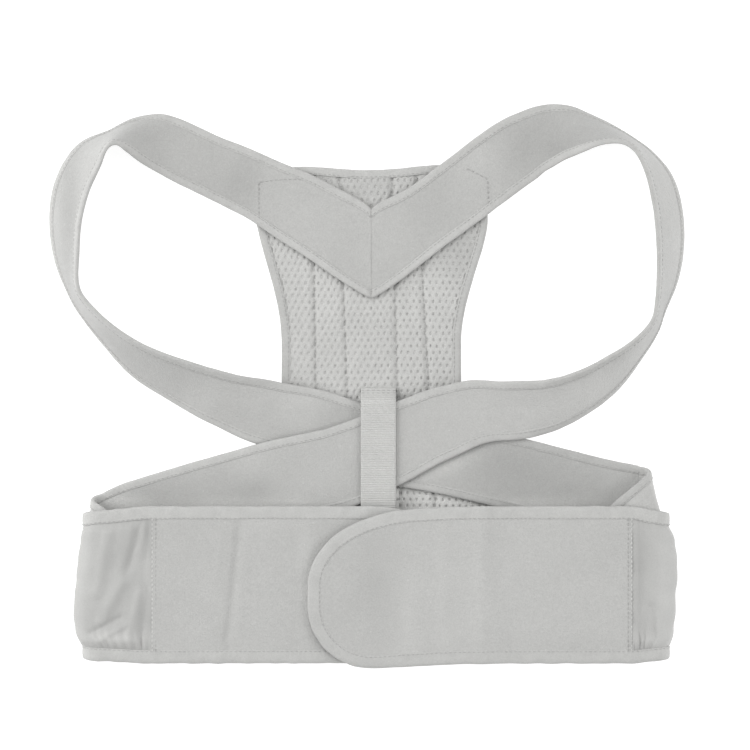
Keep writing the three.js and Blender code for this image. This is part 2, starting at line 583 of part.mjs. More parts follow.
// The belt's binding: in along the top edge from the back panel's side, round the tab end and back along the
// bottom
function beltBinding(side) {
  const { seamX, endX, height, droop } = BELT_PANELS[side];
  const strip = (edge) => {
    const v = edge > 0 ? 0 : 1;
    return sidePath(side)
      .filter((place, j) => place.u > 1 || (place.u > 0 && j % 3 === 0))
      .map((place) => {
        const pull = EDGE_PULL * place.pull * (edge > 0 ? 1 : 0.5);
        const y = (inset) => BELT_MIDDLE_Y + edge * (BELT_HEIGHT / 2 - pull - inset);
        const x = place.x(foldX(side, v));
        return [0, BELT_BINDING_WIDTH].map((inset) => new THREE.Vector3(x, y(inset), place.z));
      });
  };
  const outer = beltColumns(seamX, endX, 0);
  const inner = beltColumns(seamX, endX, BELT_BINDING_WIDTH);
  const onPanel = (x, y) => new THREE.Vector3(x, BELT_MIDDLE_Y - droop(x) + y, height(x));
  const upper = outer.map((p, i) => [onPanel(p.x, p.up), onPanel(inner[i].x, inner[i].up)]);
  const lower = outer.map((p, i) => [onPanel(p.x, -p.down), onPanel(inner[i].x, -inner[i].down)]);
  const grid = [...strip(1).reverse(), ...upper, ...lower.reverse(), ...strip(-1)];
  return wall(grid, BELT_BINDING_THICKNESS);
}

// The hook patch sewn under the right tab, which grips the left panel
function hookPatch() {
  const left = RIGHT_PANEL_END_X + HOOK_PATCH_END_MARGIN;
  const right = LEFT_PANEL_END_X - HOOK_PATCH_END_MARGIN;
  const half = BELT_HEIGHT / 2 - BELT_BINDING_WIDTH - HOOK_PATCH_SIDE_MARGIN;
  const above = (BELT_PANEL_THICKNESS + HOOK_PATCH_THICKNESS) / 2 + GAP;
  const grid = steps(4).map((t) => {
    const x = lerp(left, right, t);
    return [-half, half].map((y) => new THREE.Vector3(x, BELT_MIDDLE_Y + y, leftPanelZ(x) + above));
  });
  return wall(grid, HOOK_PATCH_THICKNESS);
}

const FINISHES = {
  strapFabric: new THREE.MeshStandardMaterial({ color: 0xbcbcba, roughness: 0.95, metalness: 0 }),
  meshFabric: new THREE.MeshStandardMaterial({ color: 0xc6c6c4, roughness: 0.9, metalness: 0 }),
  bindingTape: new THREE.MeshStandardMaterial({ color: 0xc2c2c0, roughness: 0.85, metalness: 0 }),
  webbing: new THREE.MeshStandardMaterial({ color: 0xcacac8, roughness: 0.8, metalness: 0 }),
  sideFabric: new THREE.MeshStandardMaterial({ color: 0xc0c0be, roughness: 0.7, metalness: 0 }),
  hookTape: new THREE.MeshStandardMaterial({ color: 0xb4b4b2, roughness: 0.9, metalness: 0 }),
};

const corrector = new THREE.Group();
function addPiece(name, geometry, finish) {
  const mesh = new THREE.Mesh(geometry, finish);
  mesh.name = name;
  corrector.add(mesh);
}

addPiece("back_panel", backPanel(), FINISHES.meshFabric);
addPiece("back_panel_binding", backPanelBinding(), FINISHES.bindingTape);
addPiece("webbing_keeper", webbingKeeper(), FINISHES.webbing);
addPiece("hook_patch", hookPatch(), FINISHES.hookTape);
for (const side of ["left", "right"]) {
  addPiece(`shoulder_strap_${side}`, strapCore(side), FINISHES.strapFabric);
  addPiece(`strap_binding_${side}_inner`, innerStrapBinding(side), FINISHES.bindingTape);
  addPiece(`strap_binding_${side}_outer`, outerStrapBinding(side), FINISHES.bindingTape);
  addPiece(`belt_panel_${side}`, beltPanel(side), FINISHES.strapFabric);
  addPiece(`belt_binding_${side}`, beltBinding(side), FINISHES.bindingTape);
  addPiece(`side_panel_${side}`, sidePanel(side), FINISHES.sideFabric);
}

export default corrector;
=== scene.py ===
"""The looks of a light grey posture corrector, lying on its back panel with its waist belt closed on top."""

import math

import bmesh
import bpy
import numpy as np
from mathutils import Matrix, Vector


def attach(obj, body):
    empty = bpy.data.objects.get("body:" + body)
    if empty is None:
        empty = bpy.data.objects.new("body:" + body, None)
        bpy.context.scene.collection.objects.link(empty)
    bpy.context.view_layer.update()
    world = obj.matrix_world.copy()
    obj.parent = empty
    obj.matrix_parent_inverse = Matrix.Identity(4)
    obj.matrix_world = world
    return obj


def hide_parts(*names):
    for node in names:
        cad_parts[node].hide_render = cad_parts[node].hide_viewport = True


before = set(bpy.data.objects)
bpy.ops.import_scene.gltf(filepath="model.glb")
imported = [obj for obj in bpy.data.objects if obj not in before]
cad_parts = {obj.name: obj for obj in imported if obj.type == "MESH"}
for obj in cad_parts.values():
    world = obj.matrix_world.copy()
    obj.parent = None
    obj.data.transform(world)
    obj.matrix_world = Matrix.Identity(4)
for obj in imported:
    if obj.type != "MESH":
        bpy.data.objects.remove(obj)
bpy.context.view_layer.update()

MM = 0.001
UP = (0.0, 0.0, 1.0)

# The solids' sizes, in millimetres, and the places along each strap
PANEL_LENGTH = 346.0
PANEL_TOP_WIDTH = 166.0
PANEL_WAIST_WIDTH = 128.0
PANEL_FOOT_WIDTH = 200.0
PANEL_THICKNESS = 4.6
PANEL_BINDING_PROUD = 0.6
PANEL_CORNER_DROP = 7.0
PANEL_TOP_DIP = 1.7
PANEL_TOP_TILT = 1.0
CHANNEL_OFFSETS = (-40.0, -18.0, 18.0, 40.0)
CHANNEL_LEANS = (0.015, 0.037, 0.024, 0.057)
STRAP_WIDTH = 43.0
STRAP_THICKNESS = 2.4
STRAP_BINDING_WIDTH = 6.2
STRAP_BINDING_THICKNESS = 3.2
LOOP_REACH = 228.0
WEBBING_WIDTH = 25.0
WEBBING_THICKNESS = 1.6
WEBBING_OFFSET = 5.0
WEBBING_SEWN_END = 4.0
WEBBING_RAMP = 5.5
BELT_WIDTH = 425.0
BELT_SHIFT = 3.0
BELT_HEIGHT = 111.2
BELT_LOFT = 24.0
BELT_PANEL_LENGTH = 229.0
BELT_PANEL_THICKNESS = 3.0
BELT_BINDING_WIDTH = 9.4
BELT_BINDING_THICKNESS = 3.4
BELT_BELOW_PANEL = 5.7
SEAM_FROM_LEFT_FOLD = 54.6
SEAM_FROM_RIGHT_FOLD = 31.4
TAB_TOP_ROUNDING_LENGTH = 75.0
TAB_TOP_ROUNDING_DEPTH = 53.0
TAB_BOTTOM_ROUNDING = 44.0
TAB_DROOP = 3.0
EDGE_PULL = 3.0
FOLD_EDGE_PULL = 2.0
HOOK_PATCH_THICKNESS = 1.2
GAP = 0.4

# How far each cloth's own edge reaches in under its tape
STRAP_UNDER_TAPE = 1.2
PAD_UNDER_TAPE = 1.5
FRONT_UNDER_TAPE = 1.4
SIDE_UNDER_TAPE = 1.5

# Where a tape's stitches run, as a share of its width, and how high its face is there, of half its thickness
STRAP_SEWN = 0.8
STRAP_SEWN_HEIGHT = 0.93
BELT_SEWN = 0.9
BELT_SEWN_HEIGHT = 0.95
STITCH_LIFT = 0.02

HALF_LENGTH = PANEL_LENGTH / 2
PANEL_TOP = PANEL_THICKNESS + PANEL_BINDING_PROUD
BELT_BOTTOM_Y = -HALF_LENGTH - BELT_BELOW_PANEL
BELT_TOP_Y = BELT_BOTTOM_Y + BELT_HEIGHT
BELT_MIDDLE_Y = (BELT_TOP_Y + BELT_BOTTOM_Y) / 2
FRONT_MID = BELT_LOFT - BELT_BINDING_THICKNESS / 2
BACK_MID = BELT_BINDING_THICKNESS / 2
REST = {
    "floor": 0.0,
    "panel": PANEL_TOP + GAP,
    "strap": PANEL_TOP + STRAP_BINDING_THICKNESS + 2 * GAP,
    "wing": BELT_BINDING_THICKNESS + GAP,
    "front": BELT_LOFT - BELT_BINDING_THICKNESS - STRAP_BINDING_THICKNESS - GAP,
}
WEBBING_HIGH = REST["strap"] + STRAP_BINDING_THICKNESS + GAP + WEBBING_THICKNESS / 2
LEFT_SAG = 1.5
OVERLAP_STEP = BELT_PANEL_THICKNESS + HOOK_PATCH_THICKNESS + 2 * GAP
LEFT_FOLD_X = BELT_SHIFT - BELT_WIDTH / 2
RIGHT_FOLD_X = BELT_SHIFT + BELT_WIDTH / 2
LEFT_SEAM_X = LEFT_FOLD_X + SEAM_FROM_LEFT_FOLD
RIGHT_SEAM_X = RIGHT_FOLD_X - SEAM_FROM_RIGHT_FOLD
LEFT_PANEL_END_X = LEFT_SEAM_X + BELT_PANEL_LENGTH
RIGHT_PANEL_END_X = RIGHT_SEAM_X - BELT_PANEL_LENGTH

# The places along each loop: x as a share of LOOP_REACH, y of half the panel's length, the plan direction
# across and the lean in degrees, the width as a share of STRAP_WIDTH, what the outer edge rests on, and the
# share of that height
LEFT_LOOP = [
    (0.0, 0.644, 90, 0, 1.48, "panel", 1),
    (-0.191, 0.802, 60, 0, 1.23, "panel", 1),
    (-0.37, 0.928, 63, 0, 1.06, "panel", 1),
    (-0.525, 1.02, 65, 3, 1, "panel", 0.8),
    (-0.649, 1.098, 70, 16, 1, "panel", 0.4),
    (-0.728, 1.135, 68, 45, 1, "floor", 1),
    (-0.807, 1.118, 108, 73, 1, "floor", 1),
    (-0.878, 1.045, 141, 54, 1, "floor", 1),
    (-0.929, 0.922, 171, 48.5, 1, "floor", 1),
    (-0.95, 0.775, 180, 54, 1, "floor", 1),
    (-0.945, 0.627, 190, 62.5, 1, "floor", 1),
    (-0.926, 0.502, 200, 75, 1, "floor", 1),
    (-0.892, 0.42, 219, 75, 1, "floor", 1),
    (-0.814, 0.305, 236, 68.5, 1, "floor", 1),
    (-0.721, 0.202, 241, 56, 1, "floor", 1),
    (-0.595, 0.119, 244, 44, 1, "panel", 0.2),
    (-0.465, 0.047, 249, 26, 1, "panel", 1),
    (-0.33, -0.009, 252, 8, 1.09, "panel", 1),
    (-0.165, -0.06, 252, 0, 1.15, "panel", 1),
    (0.028, -0.149, 255, 0, 1.19, "panel", 1),
    (0.217, -0.194, 256, 0, 1.19, "panel", 1),
]
RIGHT_LOOP = [
    (0.0, 0.644, 90, 0, 1.48, "panel", 1),
    (0.19, 0.811, 121, 0, 1.13, "panel", 1),
    (0.42, 1.038, 126, 0, 1.14, "panel", 1),
    (0.518, 1.114, 109, 6, 1.07, "panel", 0.8),
    (0.602, 1.149, 100, 23, 1, "panel", 0.4),
    (0.685, 1.145, 88, 54, 1, "floor", 1),
    (0.758, 1.127, 73, 72, 1, "floor", 1),
    (0.811, 1.093, 58, 77, 1, "floor", 1),
    (0.857, 1.034, 40, 71, 1, "floor", 1),
    (0.9, 0.938, 18, 61, 1, "floor", 1),
    (0.923, 0.806, 6, 58, 1, "floor", 1),
    (0.928, 0.673, -4, 60, 1, "floor", 1),
    (0.919, 0.546, -15, 66, 1, "floor", 1),
    (0.897, 0.426, -26, 76, 1, "floor", 1),
    (0.878, 0.342, -40, 77, 1, "floor", 1),
    (0.822, 0.244, -62, 69, 1, "floor", 1),
    (0.747, 0.15, -67, 54, 1, "floor", 1),
    (0.658, 0.075, -71, 44.5, 1, "strap", 0.25),
    (0.557, 0.022, -76, 32, 1, "strap", 0.7),
    (0.44, 0, -75, 14, 1.02, "strap", 1),
    (0.328, -0.004, -67, 0, 1.09, "strap", 1),
    (0.194, -0.065, -68, 0, 1.2, "strap", 1),
    (0.053, -0.151, -75, 0, 1.31, "strap", 1),
]
# The tails: x as a share of half the belt's width from its middle, y of the belt's height below its top edge
LEFT_TAIL = [
    (0.494, -0.187, 256, 0, 1.22, "panel", 1),
    (0.72, -0.07, 258, 0, 1.25, "wing", 1),
    (0.855, -0.012, 265, 0, 1.28, "wing", 1),
]
RIGHT_TAIL = [
    (-0.117, -0.242, -74.5, 0, 1.37, "strap", 1),
    (-0.317, -0.158, -75, 0, 1.37, "strap", 1.1),
    (-0.553, -0.038, -76, 0, 1.34, "panel", 0.9),
    (-0.76, 0.076, -80, 0, 1.33, "wing", 1),
    (-0.872, 0.142, -88, 0, 1.33, "wing", 1),
]
# How each tail turns over: the side, the row at the fold, the drift down it and the row at the sewn end; then
# where the places round the fold and along the end lie, as shares
LEFT_TURN = (1, (0.942, 0.032, 282, 0, 1.36, "wing", 1), 0.08, (0.8, 0.3, 306, 0, 1.25, "front", 1))
RIGHT_TURN = (-1, (-0.955, 0.222, -94, 0, 1.38, "wing", 1), 0.075, (-0.7, 0.56, -112, 0, 1.3, "front", 1))
TURN_SHARES = np.linspace(0, 1, 5)
END_SHARES = (0.15, 0.45, 1)

# How finely the places between two rows lie, and half the gap at the yoke's middle seam
PLACES_PER_ROW = 12
YOKE_HALF_GAP = 0.05

# How far each side fold bulges outwards from the belt's top down to its foot, as shares of BELT_LOFT
FOLD_BULGE = {
    "left": [-0.25, -0.18, -0.1, -0.06, 0.0, 0.03, -0.03, -0.25],
    "right": [-0.22, -0.06, 0.02, 0.03, -0.03, -0.03, -0.1, -0.22],
}


# Shared shape code


def smooth(t):
    """Eases from 0 to 1 as t goes from 0 to 1"""
    t = np.clip(t, 0.0, 1.0)
    return t * t * (3 - 2 * t)


def bump_at(value, centre, spread):
    """A round bump, 1 high, about a centre"""
    return np.exp(-(((value - centre) / spread) ** 2))


def unit(vectors):
    """The vectors at length 1"""
    return vectors / np.maximum(np.linalg.norm(vectors, axis=-1, keepdims=True), 1e-12)


def as_points(*columns):
    """Points, or other rows of numbers, from their columns"""
    return np.stack(np.broadcast_arrays(*columns), -1)


def distances_along(points):
    """How far each point of a row lies from the first, along the row"""
    return np.concatenate([[0], np.cumsum(np.linalg.norm(np.diff(points, axis=0), axis=1))])


RIPPLE_WAVES = 7


def ripple(points, wavelength, seed):
    """Smooth seeded unevenness, about -1 to 1, over points in millimetres"""
    rng = np.random.default_rng(seed)
    total = np.zeros(points.shape[:-1])
    for _ in range(RIPPLE_WAVES):
        direction = unit(rng.normal(size=3))
        pitch = wavelength * rng.uniform(0.7, 1.6)
        total += np.sin(points @ direction * (2 * math.pi / pitch) + rng.uniform(0, 2 * math.pi))
    return total / 3.2


def mesh_object(name, vertices, faces, uvs=None, finish=None):
    """A smooth-shaded object from points in millimetres, quads, and each vertex's UV in metres"""
    mesh = bpy.data.meshes.new(name)
    mesh.from_pydata((np.asarray(vertices) * MM).tolist(), [], [list(map(int, f)) for f in faces])
    if uvs is not None:
        layer = mesh.uv_layers.new(name="UVMap")
        corners = np.empty(len(mesh.loops), dtype=np.int32)
        mesh.loops.foreach_get("vertex_index", corners)
        layer.data.foreach_set("uv", (np.asarray(uvs)[corners] * MM).astype(np.float32).ravel())
    mesh.polygons.foreach_set("use_smooth", [True] * len(mesh.polygons))
    mesh.update()
    obj = bpy.data.objects.new(name, mesh)
    bpy.context.scene.collection.objects.link(obj)
    if finish is not None:
        mesh.materials.append(finish)
    return obj


def read_points(obj):
    """The points of an object's mesh, in metres"""
    points = np.empty(len(obj.data.vertices) * 3, np.float32)
    obj.data.vertices.foreach_get("co", points)
    return points.reshape(-1, 3)


def grid_normals(grid):
    """Unit normals of a grid of points, rows by columns"""
    return unit(np.cross(np.gradient(grid, axis=0), np.gradient(grid, axis=1)))


def grid_faces(index):
    """The quads of a grid of point numbers, rows by columns"""
    corners = (index[:-1, :-1], index[1:, :-1], index[1:, 1:], index[:-1, 1:])
    return np.stack([corner.ravel() for corner in corners], 1)


def walls(line, count):
    """Quads from a line of the upper points to the lower points, whose numbers are higher by count"""
    near, far = line[:-1], line[1:]
    return np.stack([near, near + count, far + count, far], 1)


# The surface through the middle of each cloth, by the piece's name
CLOTH = {}
SHARP_ANGLE = math.radians(55)


def slab(name, grid, thickness, finish, uv, shift=0.0):
    """A closed cloth of the given thickness about a grid of points"""
    CLOTH[name] = grid
    rows, columns = grid.shape[:2]
    normals = grid_normals(grid)
    half = np.broadcast_to(np.asarray(thickness, float) / 2, (rows, columns))[..., None]
    offset = np.broadcast_to(np.asarray(shift, float), (rows, columns))[..., None]
    top = grid + normals * (offset + half)
    bottom = grid + normals * (offset - half)
    vertices = np.concatenate([top.reshape(-1, 3), bottom.reshape(-1, 3)])
    count = rows * columns
    index = np.arange(count).reshape(rows, columns)
    quads = grid_faces(index)
    faces = [quads, quads[:, ::-1] + count]
    faces += [walls(index[:, 0], count), walls(index[:, -1], count)[:, ::-1]]
    faces += [walls(index[0, :], count)[:, ::-1], walls(index[-1, :], count)]
    uvs = np.concatenate([uv.reshape(-1, 2), uv.reshape(-1, 2)])
    made = mesh_object(name, vertices, np.concatenate(faces), uvs, finish)
    make_outward(made)
    made.data.set_sharp_from_angle(angle=SHARP_ANGLE)
    return made


def lay_sheet(piece):
    """Reads a cloth's middle surface in metres and turns it so that its longer side runs down the rows; it
    gives back nothing
    """
    grid = CLOTH[piece.name] * MM
    rows = grid if grid.shape[0] >= grid.shape[1] else grid.swapaxes(0, 1)


# The section of a folded tape, its upper side and then all of it: shares of its width inwards from the edge,
# and of half its thickness
TAPE_UPPER = [
    (1.0, 0.62), (0.985, 0.86), (0.93, 0.97), (0.8, 0.93), (0.6, 1.0), (0.35, 1.0), (0.15, 0.9), (0.04, 0.62),
    (0.0, 0.2),
]
TAPE_SECTION = np.array(TAPE_UPPER + [(share, -height) for share, height in reversed(TAPE_UPPER)])


# How uneven a tape is, each as a depth and a wavelength: its thickness, coarsely and finely, and its width
COARSE_PUCKER = (0.035, 9.0)
FINE_PUCKER = (0.02, 3.6)
WAVER = (0.02, 14.0)


def uneven(points, depth, wavelength, seed):
    """A ripple of the given depth"""
    return depth * ripple(points, wavelength, seed)


def tape(name, edge, inward, normal, width, thickness, finish, seed, ring=False):
    """A tape folded over an edge: a closed tube along the edge's points, uneven in thickness and in width"""
    count = len(edge)
    pucker = uneven(edge, *COARSE_PUCKER, seed) + uneven(edge, *FINE_PUCKER, seed + 1)
    waver = uneven(edge, *WAVER, seed + 2)
    across, height = TAPE_SECTION.T
    k = len(TAPE_SECTION)
    in_share = across[None, :] + waver[:, None] * (across < 0.5)[None, :]
    rise = height[None, :] * (1 + pucker[:, None])
    vertices = (
        edge[:, None, :]
        + inward[:, None, :] * (in_share * width)[..., None]
        + normal[:, None, :] * (rise * thickness / 2)[..., None]
    )
    girth = distances_along(TAPE_SECTION * [width, thickness / 2])
    uvs = as_points(distances_along(edge)[:, None], girth[None, :])
    faces = []
    rows = count if ring else count - 1
    for i in range(rows):
        j = (i + 1) % count
        for s in range(k):
            t = (s + 1) % k
            faces.append((i * k + s, i * k + t, j * k + t, j * k + s))
    if not ring:
        faces.append(tuple(range(k))[::-1])
        faces.append(tuple((count - 1) * k + s for s in range(k)))
    obj = mesh_object(name, vertices.reshape(-1, 3), faces, uvs.reshape(-1, 2), finish)
    make_outward(obj)
    return obj


def make_outward(obj):
    """Turns a closed mesh's faces outwards"""
    work = bmesh.new()
    work.from_mesh(obj.data)
    bmesh.ops.recalc_face_normals(work, faces=work.faces)
    work.to_mesh(obj.data)
    work.free()


# Places where shade and light are painted into the cloth's colour: darker where folds, creases, tucks and the
# belt's inside lie in shade, and lighter where shadows in crevices and along edges are painted out. Each is x
# and y, the radius along and across, the turn in degrees and the change of shade
PAINTED_SHADE = {
    "strap_left": [
        (-128, 180, 62, 30, -25, -0.07), (-142, 182, 22, 16, -25, 0.06), (-93, 160, 24, 13, 60, -0.09),
        (-82, 21, 34, 17, -15, 0.1), (-40, 6, 26, 14, -15, 0.06), (-26, -1, 16, 14, 0, -0.1),
        (110, -44, 60, 26, -10, -0.2), (178, -57, 26, 13, 25, 0.14), (50, -41, 32, 6, 22, 0.2),
        (96, -32, 26, 10, 0, -0.03), (112, -67, 60, 5, 0, 0.32), (-214, 140, 9, 62, 0, -0.2),
        (-184, 46, 36, 9, -42, -0.14), (-170, 196, 30, 10, 20, -0.06),
    ],
    "strap_right": [
        (49, 146, 22, 20, 0, -0.07), (80, 179, 14, 12, 30, 0.05), (107, 187, 18, 10, 60, -0.06),
        (134, 197, 45, 22, -15, -0.11), (146, 183, 36, 12, 10, -0.12), (147, 10, 38, 22, 35, 0.2),
        (112, -6, 26, 16, 0, 0.04), (-158, -60, 40, 14, 12, -0.15), (-104, -49, 14, 16, 0, -0.06),
        (-84, -56, 16, 10, 10, -0.15), (-122, -43, 10, 10, 0, 0.03), (219, 88, 5, 60, 0, 0.08),
        (-96, -67, 78, 4, 0, 0.26), (-184, -66, 22, 7, 0, 0.35),
    ],
    "belt_front_left": [
        (-60, -124, 130, 90, 0, 0.035), (-47, -125, 5, 40, 0, 0.12), (-98.5, -124, 2.6, 70, -6, -0.08),
        (-105, -124, 7, 60, -6, -0.03), (-52, -84, 26, 10, 30, -0.04),
    ],
    "belt_front_right": [
        (100, -140, 150, 80, 0, 0.035), (4, -128, 20, 44, 0, -0.075), (48, -128, 5, 50, 0, 0.03),
        (78, -140, 16, 44, 0, 0.07), (99, -124, 14, 60, 0, 0.01), (26, -150, 7, 30, 0, 0.06),
    ],
    "strap_tape_left_inner": [(130, -44, 60, 34, -14, -0.16), (-38, 106, 50, 10, -35, 0.04)],
    "strap_tape_left_outer": [(130, -40, 60, 34, -14, -0.16)],
    "strap_tape_right_inner": [(42, 109, 50, 10, 35, 0.08)],
    "panel_mesh": [
        (46, -66, 34, 12, -10, 0.35), (20, -60, 5, 14, 0, 0.4), (-35, -68, 20, 8, 0, 0.2),
        (62, 112, 22, 15, 35, -0.12), (4, 160, 32, 9, 0, -0.12), (8, 30, 22, 40, 0, -0.04),
    ],
    "side_cloth_left": [
        (-168, -94, 11, 34, -20, -0.07), (-188, -138, 7, 16, -45, -0.04), (-158, -82, 3, 12, 0, -0.1),
        (-162, -146, 3.5, 18, -15, -0.04), (-201, -110, 6, 60, 0, 0.02), (-159, -118, 4, 24, 0, 0.16),
        (-184, -161, 26, 5, 0, 0.2), (-192, -126, 7, 18, -20, 0.12), (-199, -104, 5, 14, -20, 0.06),
    ],
    "side_cloth_right": [
        (190, -118, 4.5, 52, 0, -0.08), (207, -132, 8, 44, 0, 0.16), (200, -163, 16, 6, 0, 0.12),
    ],
}


def lay_painted_shade(obj):
    """Keeps the painted change of shade and light on the piece as an attribute of its points"""
    x, y, _ = (read_points(obj) / MM).T
    change = np.zeros(len(x), np.float32)
    for middle_x, middle_y, along, across, turn, amount in PAINTED_SHADE[obj.name]:
        angle = math.radians(turn)
        u = (x - middle_x) * math.cos(angle) + (y - middle_y) * math.sin(angle)
        v = (y - middle_y) * math.cos(angle) - (x - middle_x) * math.sin(angle)
        change += amount * np.exp(-((u / along) ** 2) - (v / across) ** 2)
    obj.data.attributes.new("nap_and_painted_shade", "FLOAT", "POINT").data.foreach_set("value", change)


# Materials


def new_material(name, color, roughness, sheen=0.0, sheen_roughness=0.5):
    """A plain finish, with the nodes, the links and the shader to build on"""
    material = bpy.data.materials.new(name)
    material.use_nodes = True
    nodes = material.node_tree.nodes
    shader = nodes["Principled BSDF"]
    shader.inputs["Base Color"].default_value = (*color, 1)
    shader.inputs["Roughness"].default_value = roughness
    shader.inputs["Specular IOR Level"].default_value = 0.25
    shader.inputs["Sheen Weight"].default_value = sheen
    shader.inputs["Sheen Roughness"].default_value = sheen_roughness
    return material, nodes, material.node_tree.links, shader


def add_node(nodes, kind, **inputs):
    """A node with its inputs set by name, and its own settings by their names after set_"""
    node = nodes.new(kind)
    for key, value in inputs.items():
        if key.startswith("set_"):
            setattr(node, key[4:], value)
        else:
            node.inputs[key.replace("_", " ")].default_value = value
    return node


# What each kind of texture calls its height, and the bands of a wave across a piece and along it
TEXTURE_HEIGHT = {"Noise": "Fac", "Wave": "Fac", "Voronoi": "Distance"}
ACROSS = "X"
ALONG = "Y"


def texture(nodes, links, kind, place, **inputs):
    """The height of a texture that follows the given coordinates"""
    node = add_node(nodes, f"ShaderNodeTex{kind}", **inputs)
    links.new(place, node.inputs["Vector"])
    return node.outputs[TEXTURE_HEIGHT[kind]]


def carried_over(nodes, links, value, before, after):
    """A value carried over from one range to another"""
    node = add_node(nodes, "ShaderNodeMapRange")
    for name, number in zip(("From Min", "From Max", "To Min", "To Max"), (*before, *after)):
        node.inputs[name].default_value = number
    links.new(value, node.inputs["Value"])
    return node.outputs["Result"]


def times(nodes, links, first, second):
    """Two values multiplied"""
    product = add_node(nodes, "ShaderNodeMath", set_operation="MULTIPLY")
    links.new(first, product.inputs[0])
    links.new(second, product.inputs[1])
    return product.outputs[0]


def grey(value):
    """A grey that is a trace warm"""
    return (value, value, value * 0.977)


# The distances from a speck's middle over which lint fades and its shades there, and the range that a noise
# mostly keeps to
LINT_SPECKS = ((0.03, 0.09), (1.16, 1))
NOISE_MIDDLE = (0.3, 0.7)


def mottled_color(nodes, links, shader, coordinates, base, patches, lint=None):
    """Base colour times the shade and light painted on the piece's points, and noises: each patch is a scale,
    a detail and a depth
    """
    # The painted shade and light from the piece's points, added to 1 to scale its colour
    nap_and_painted_shade = add_node(nodes, "ShaderNodeAttribute", set_attribute_name="nap_and_painted_shade")
    painted_shade_factor = add_node(nodes, "ShaderNodeMath", set_operation="ADD")
    links.new(nap_and_painted_shade.outputs["Fac"], painted_shade_factor.inputs[0])
    painted_shade_factor.inputs[1].default_value = 1
    current = painted_shade_factor.outputs[0]
    if lint is not None:
        specks = texture(nodes, links, "Voronoi", coordinates, Scale=lint, Randomness=1)
        current = times(nodes, links, current, carried_over(nodes, links, specks, *LINT_SPECKS))
    for scale, detail, depth in patches:
        noise = texture(nodes, links, "Noise", coordinates, Scale=scale, Detail=detail, Roughness=0.6)
        shade = carried_over(nodes, links, noise, NOISE_MIDDLE, (1 - depth, 1 + depth))
        current = times(nodes, links, current, shade)
    tint = add_node(nodes, "ShaderNodeVectorMath", set_operation="SCALE")
    tint.inputs[0].default_value = base
    links.new(current, tint.inputs["Scale"])
    links.new(tint.outputs["Vector"], shader.inputs["Base Color"])


def raise_bump(nodes, links, shader, height, strength, distance, before=None):
    """Relief from a height, on top of the relief before it"""
    bump = add_node(nodes, "ShaderNodeBump", Strength=strength, Distance=distance)
    links.new(height, bump.inputs["Height"])
    if before is not None:
        links.new(before.outputs["Normal"], bump.inputs["Normal"])
    links.new(bump.outputs["Normal"], shader.inputs["Normal"])
    return bump


def brushed_loop_fabric():
    """The straps' and front panels' velour: short loops with no grain and a fine nap, shade and light painted
    in soft patches, and lint
    """
    base = grey(0.367)
    material, nodes, links, shader = new_material(
        "brushed_loop_fabric", base, roughness=0.95, sheen=0.25, sheen_roughness=0.6
    )
    place = add_node(nodes, "ShaderNodeTexCoord").outputs["Object"]
    patches = [(900, 4, 0.08), (260, 3, 0.018), (22, 2, 0.03)]
    mottled_color(nodes, links, shader, place, base, patches, lint=120)
    loops = texture(nodes, links, "Voronoi", place, Scale=1300, Randomness=1)
    first = raise_bump(nodes, links, shader, loops, strength=0.5, distance=0.0004)
    # Only the nap's relief here: a bump, which paints no shade
    nap_and_painted_shade = texture(nodes, links, "Noise", place, Scale=500, Detail=4)
    raise_bump(nodes, links, shader, nap_and_painted_shade, strength=0.45, distance=0.0006, before=first)
    return material


def ribbed_tape():
    """Binding tape: fine cross ribs along its length"""
    base = grey(0.395)
    material, nodes, links, shader = new_material(
        "ribbed_tape", base, roughness=0.85, sheen=0.15, sheen_roughness=0.5
    )
    place = add_node(nodes, "ShaderNodeTexCoord")
    along_cloth = place.outputs["UV"]
    mottled_color(nodes, links, shader, place.outputs["Object"], base, [(1100, 3, 0.07), (120, 2, 0.04)])
    ribs = texture(nodes, links, "Wave", along_cloth, Scale=330, Distortion=0.6, set_bands_direction=ACROSS)
    first = raise_bump(nodes, links, shader, ribs, strength=0.35, distance=0.0003)
    weave = texture(nodes, links, "Noise", place.outputs["Object"], Scale=1400, Detail=3)
    raise_bump(nodes, links, shader, weave, strength=0.4, distance=0.0003, before=first)
    return material


def elastic_webbing():
    """Woven elastic: close ribs across the band and finer wales along it"""
    base = grey(0.475)
    material, nodes, links, shader = new_material(
        "elastic_webbing", base, roughness=0.8, sheen=0.15, sheen_roughness=0.4
    )
    place = add_node(nodes, "ShaderNodeTexCoord")
    along_cloth = place.outputs["UV"]
    mottled_color(nodes, links, shader, place.outputs["Object"], base, [(1000, 3, 0.06), (60, 2, 0.03)])
    ribs = texture(nodes, links, "Wave", along_cloth, Scale=250, Distortion=0.8, set_bands_direction=ACROSS)
    first = raise_bump(nodes, links, shader, ribs, strength=0.7, distance=0.0005)
    wales = texture(nodes, links, "Wave", along_cloth, Scale=420, Distortion=0.3, set_bands_direction=ALONG)
    raise_bump(nodes, links, shader, wales, strength=0.35, distance=0.0003, before=first)
    return material


def mesh_threads():
    """The knitted threads of the open mesh"""
    base = grey(0.422)
    material, nodes, links, shader = new_material(
        "mesh_threads", base, roughness=0.7, sheen=0.2, sheen_roughness=0.4
    )
    place = add_node(nodes, "ShaderNodeTexCoord").outputs["Object"]
    mottled_color(nodes, links, shader, place, base, [(1500, 2, 0.12), (35, 2, 0.04)])
    twist = texture(nodes, links, "Noise", place, Scale=1800, Detail=2)
    raise_bump(nodes, links, shader, twist, strength=0.5, distance=0.0003)
    return material


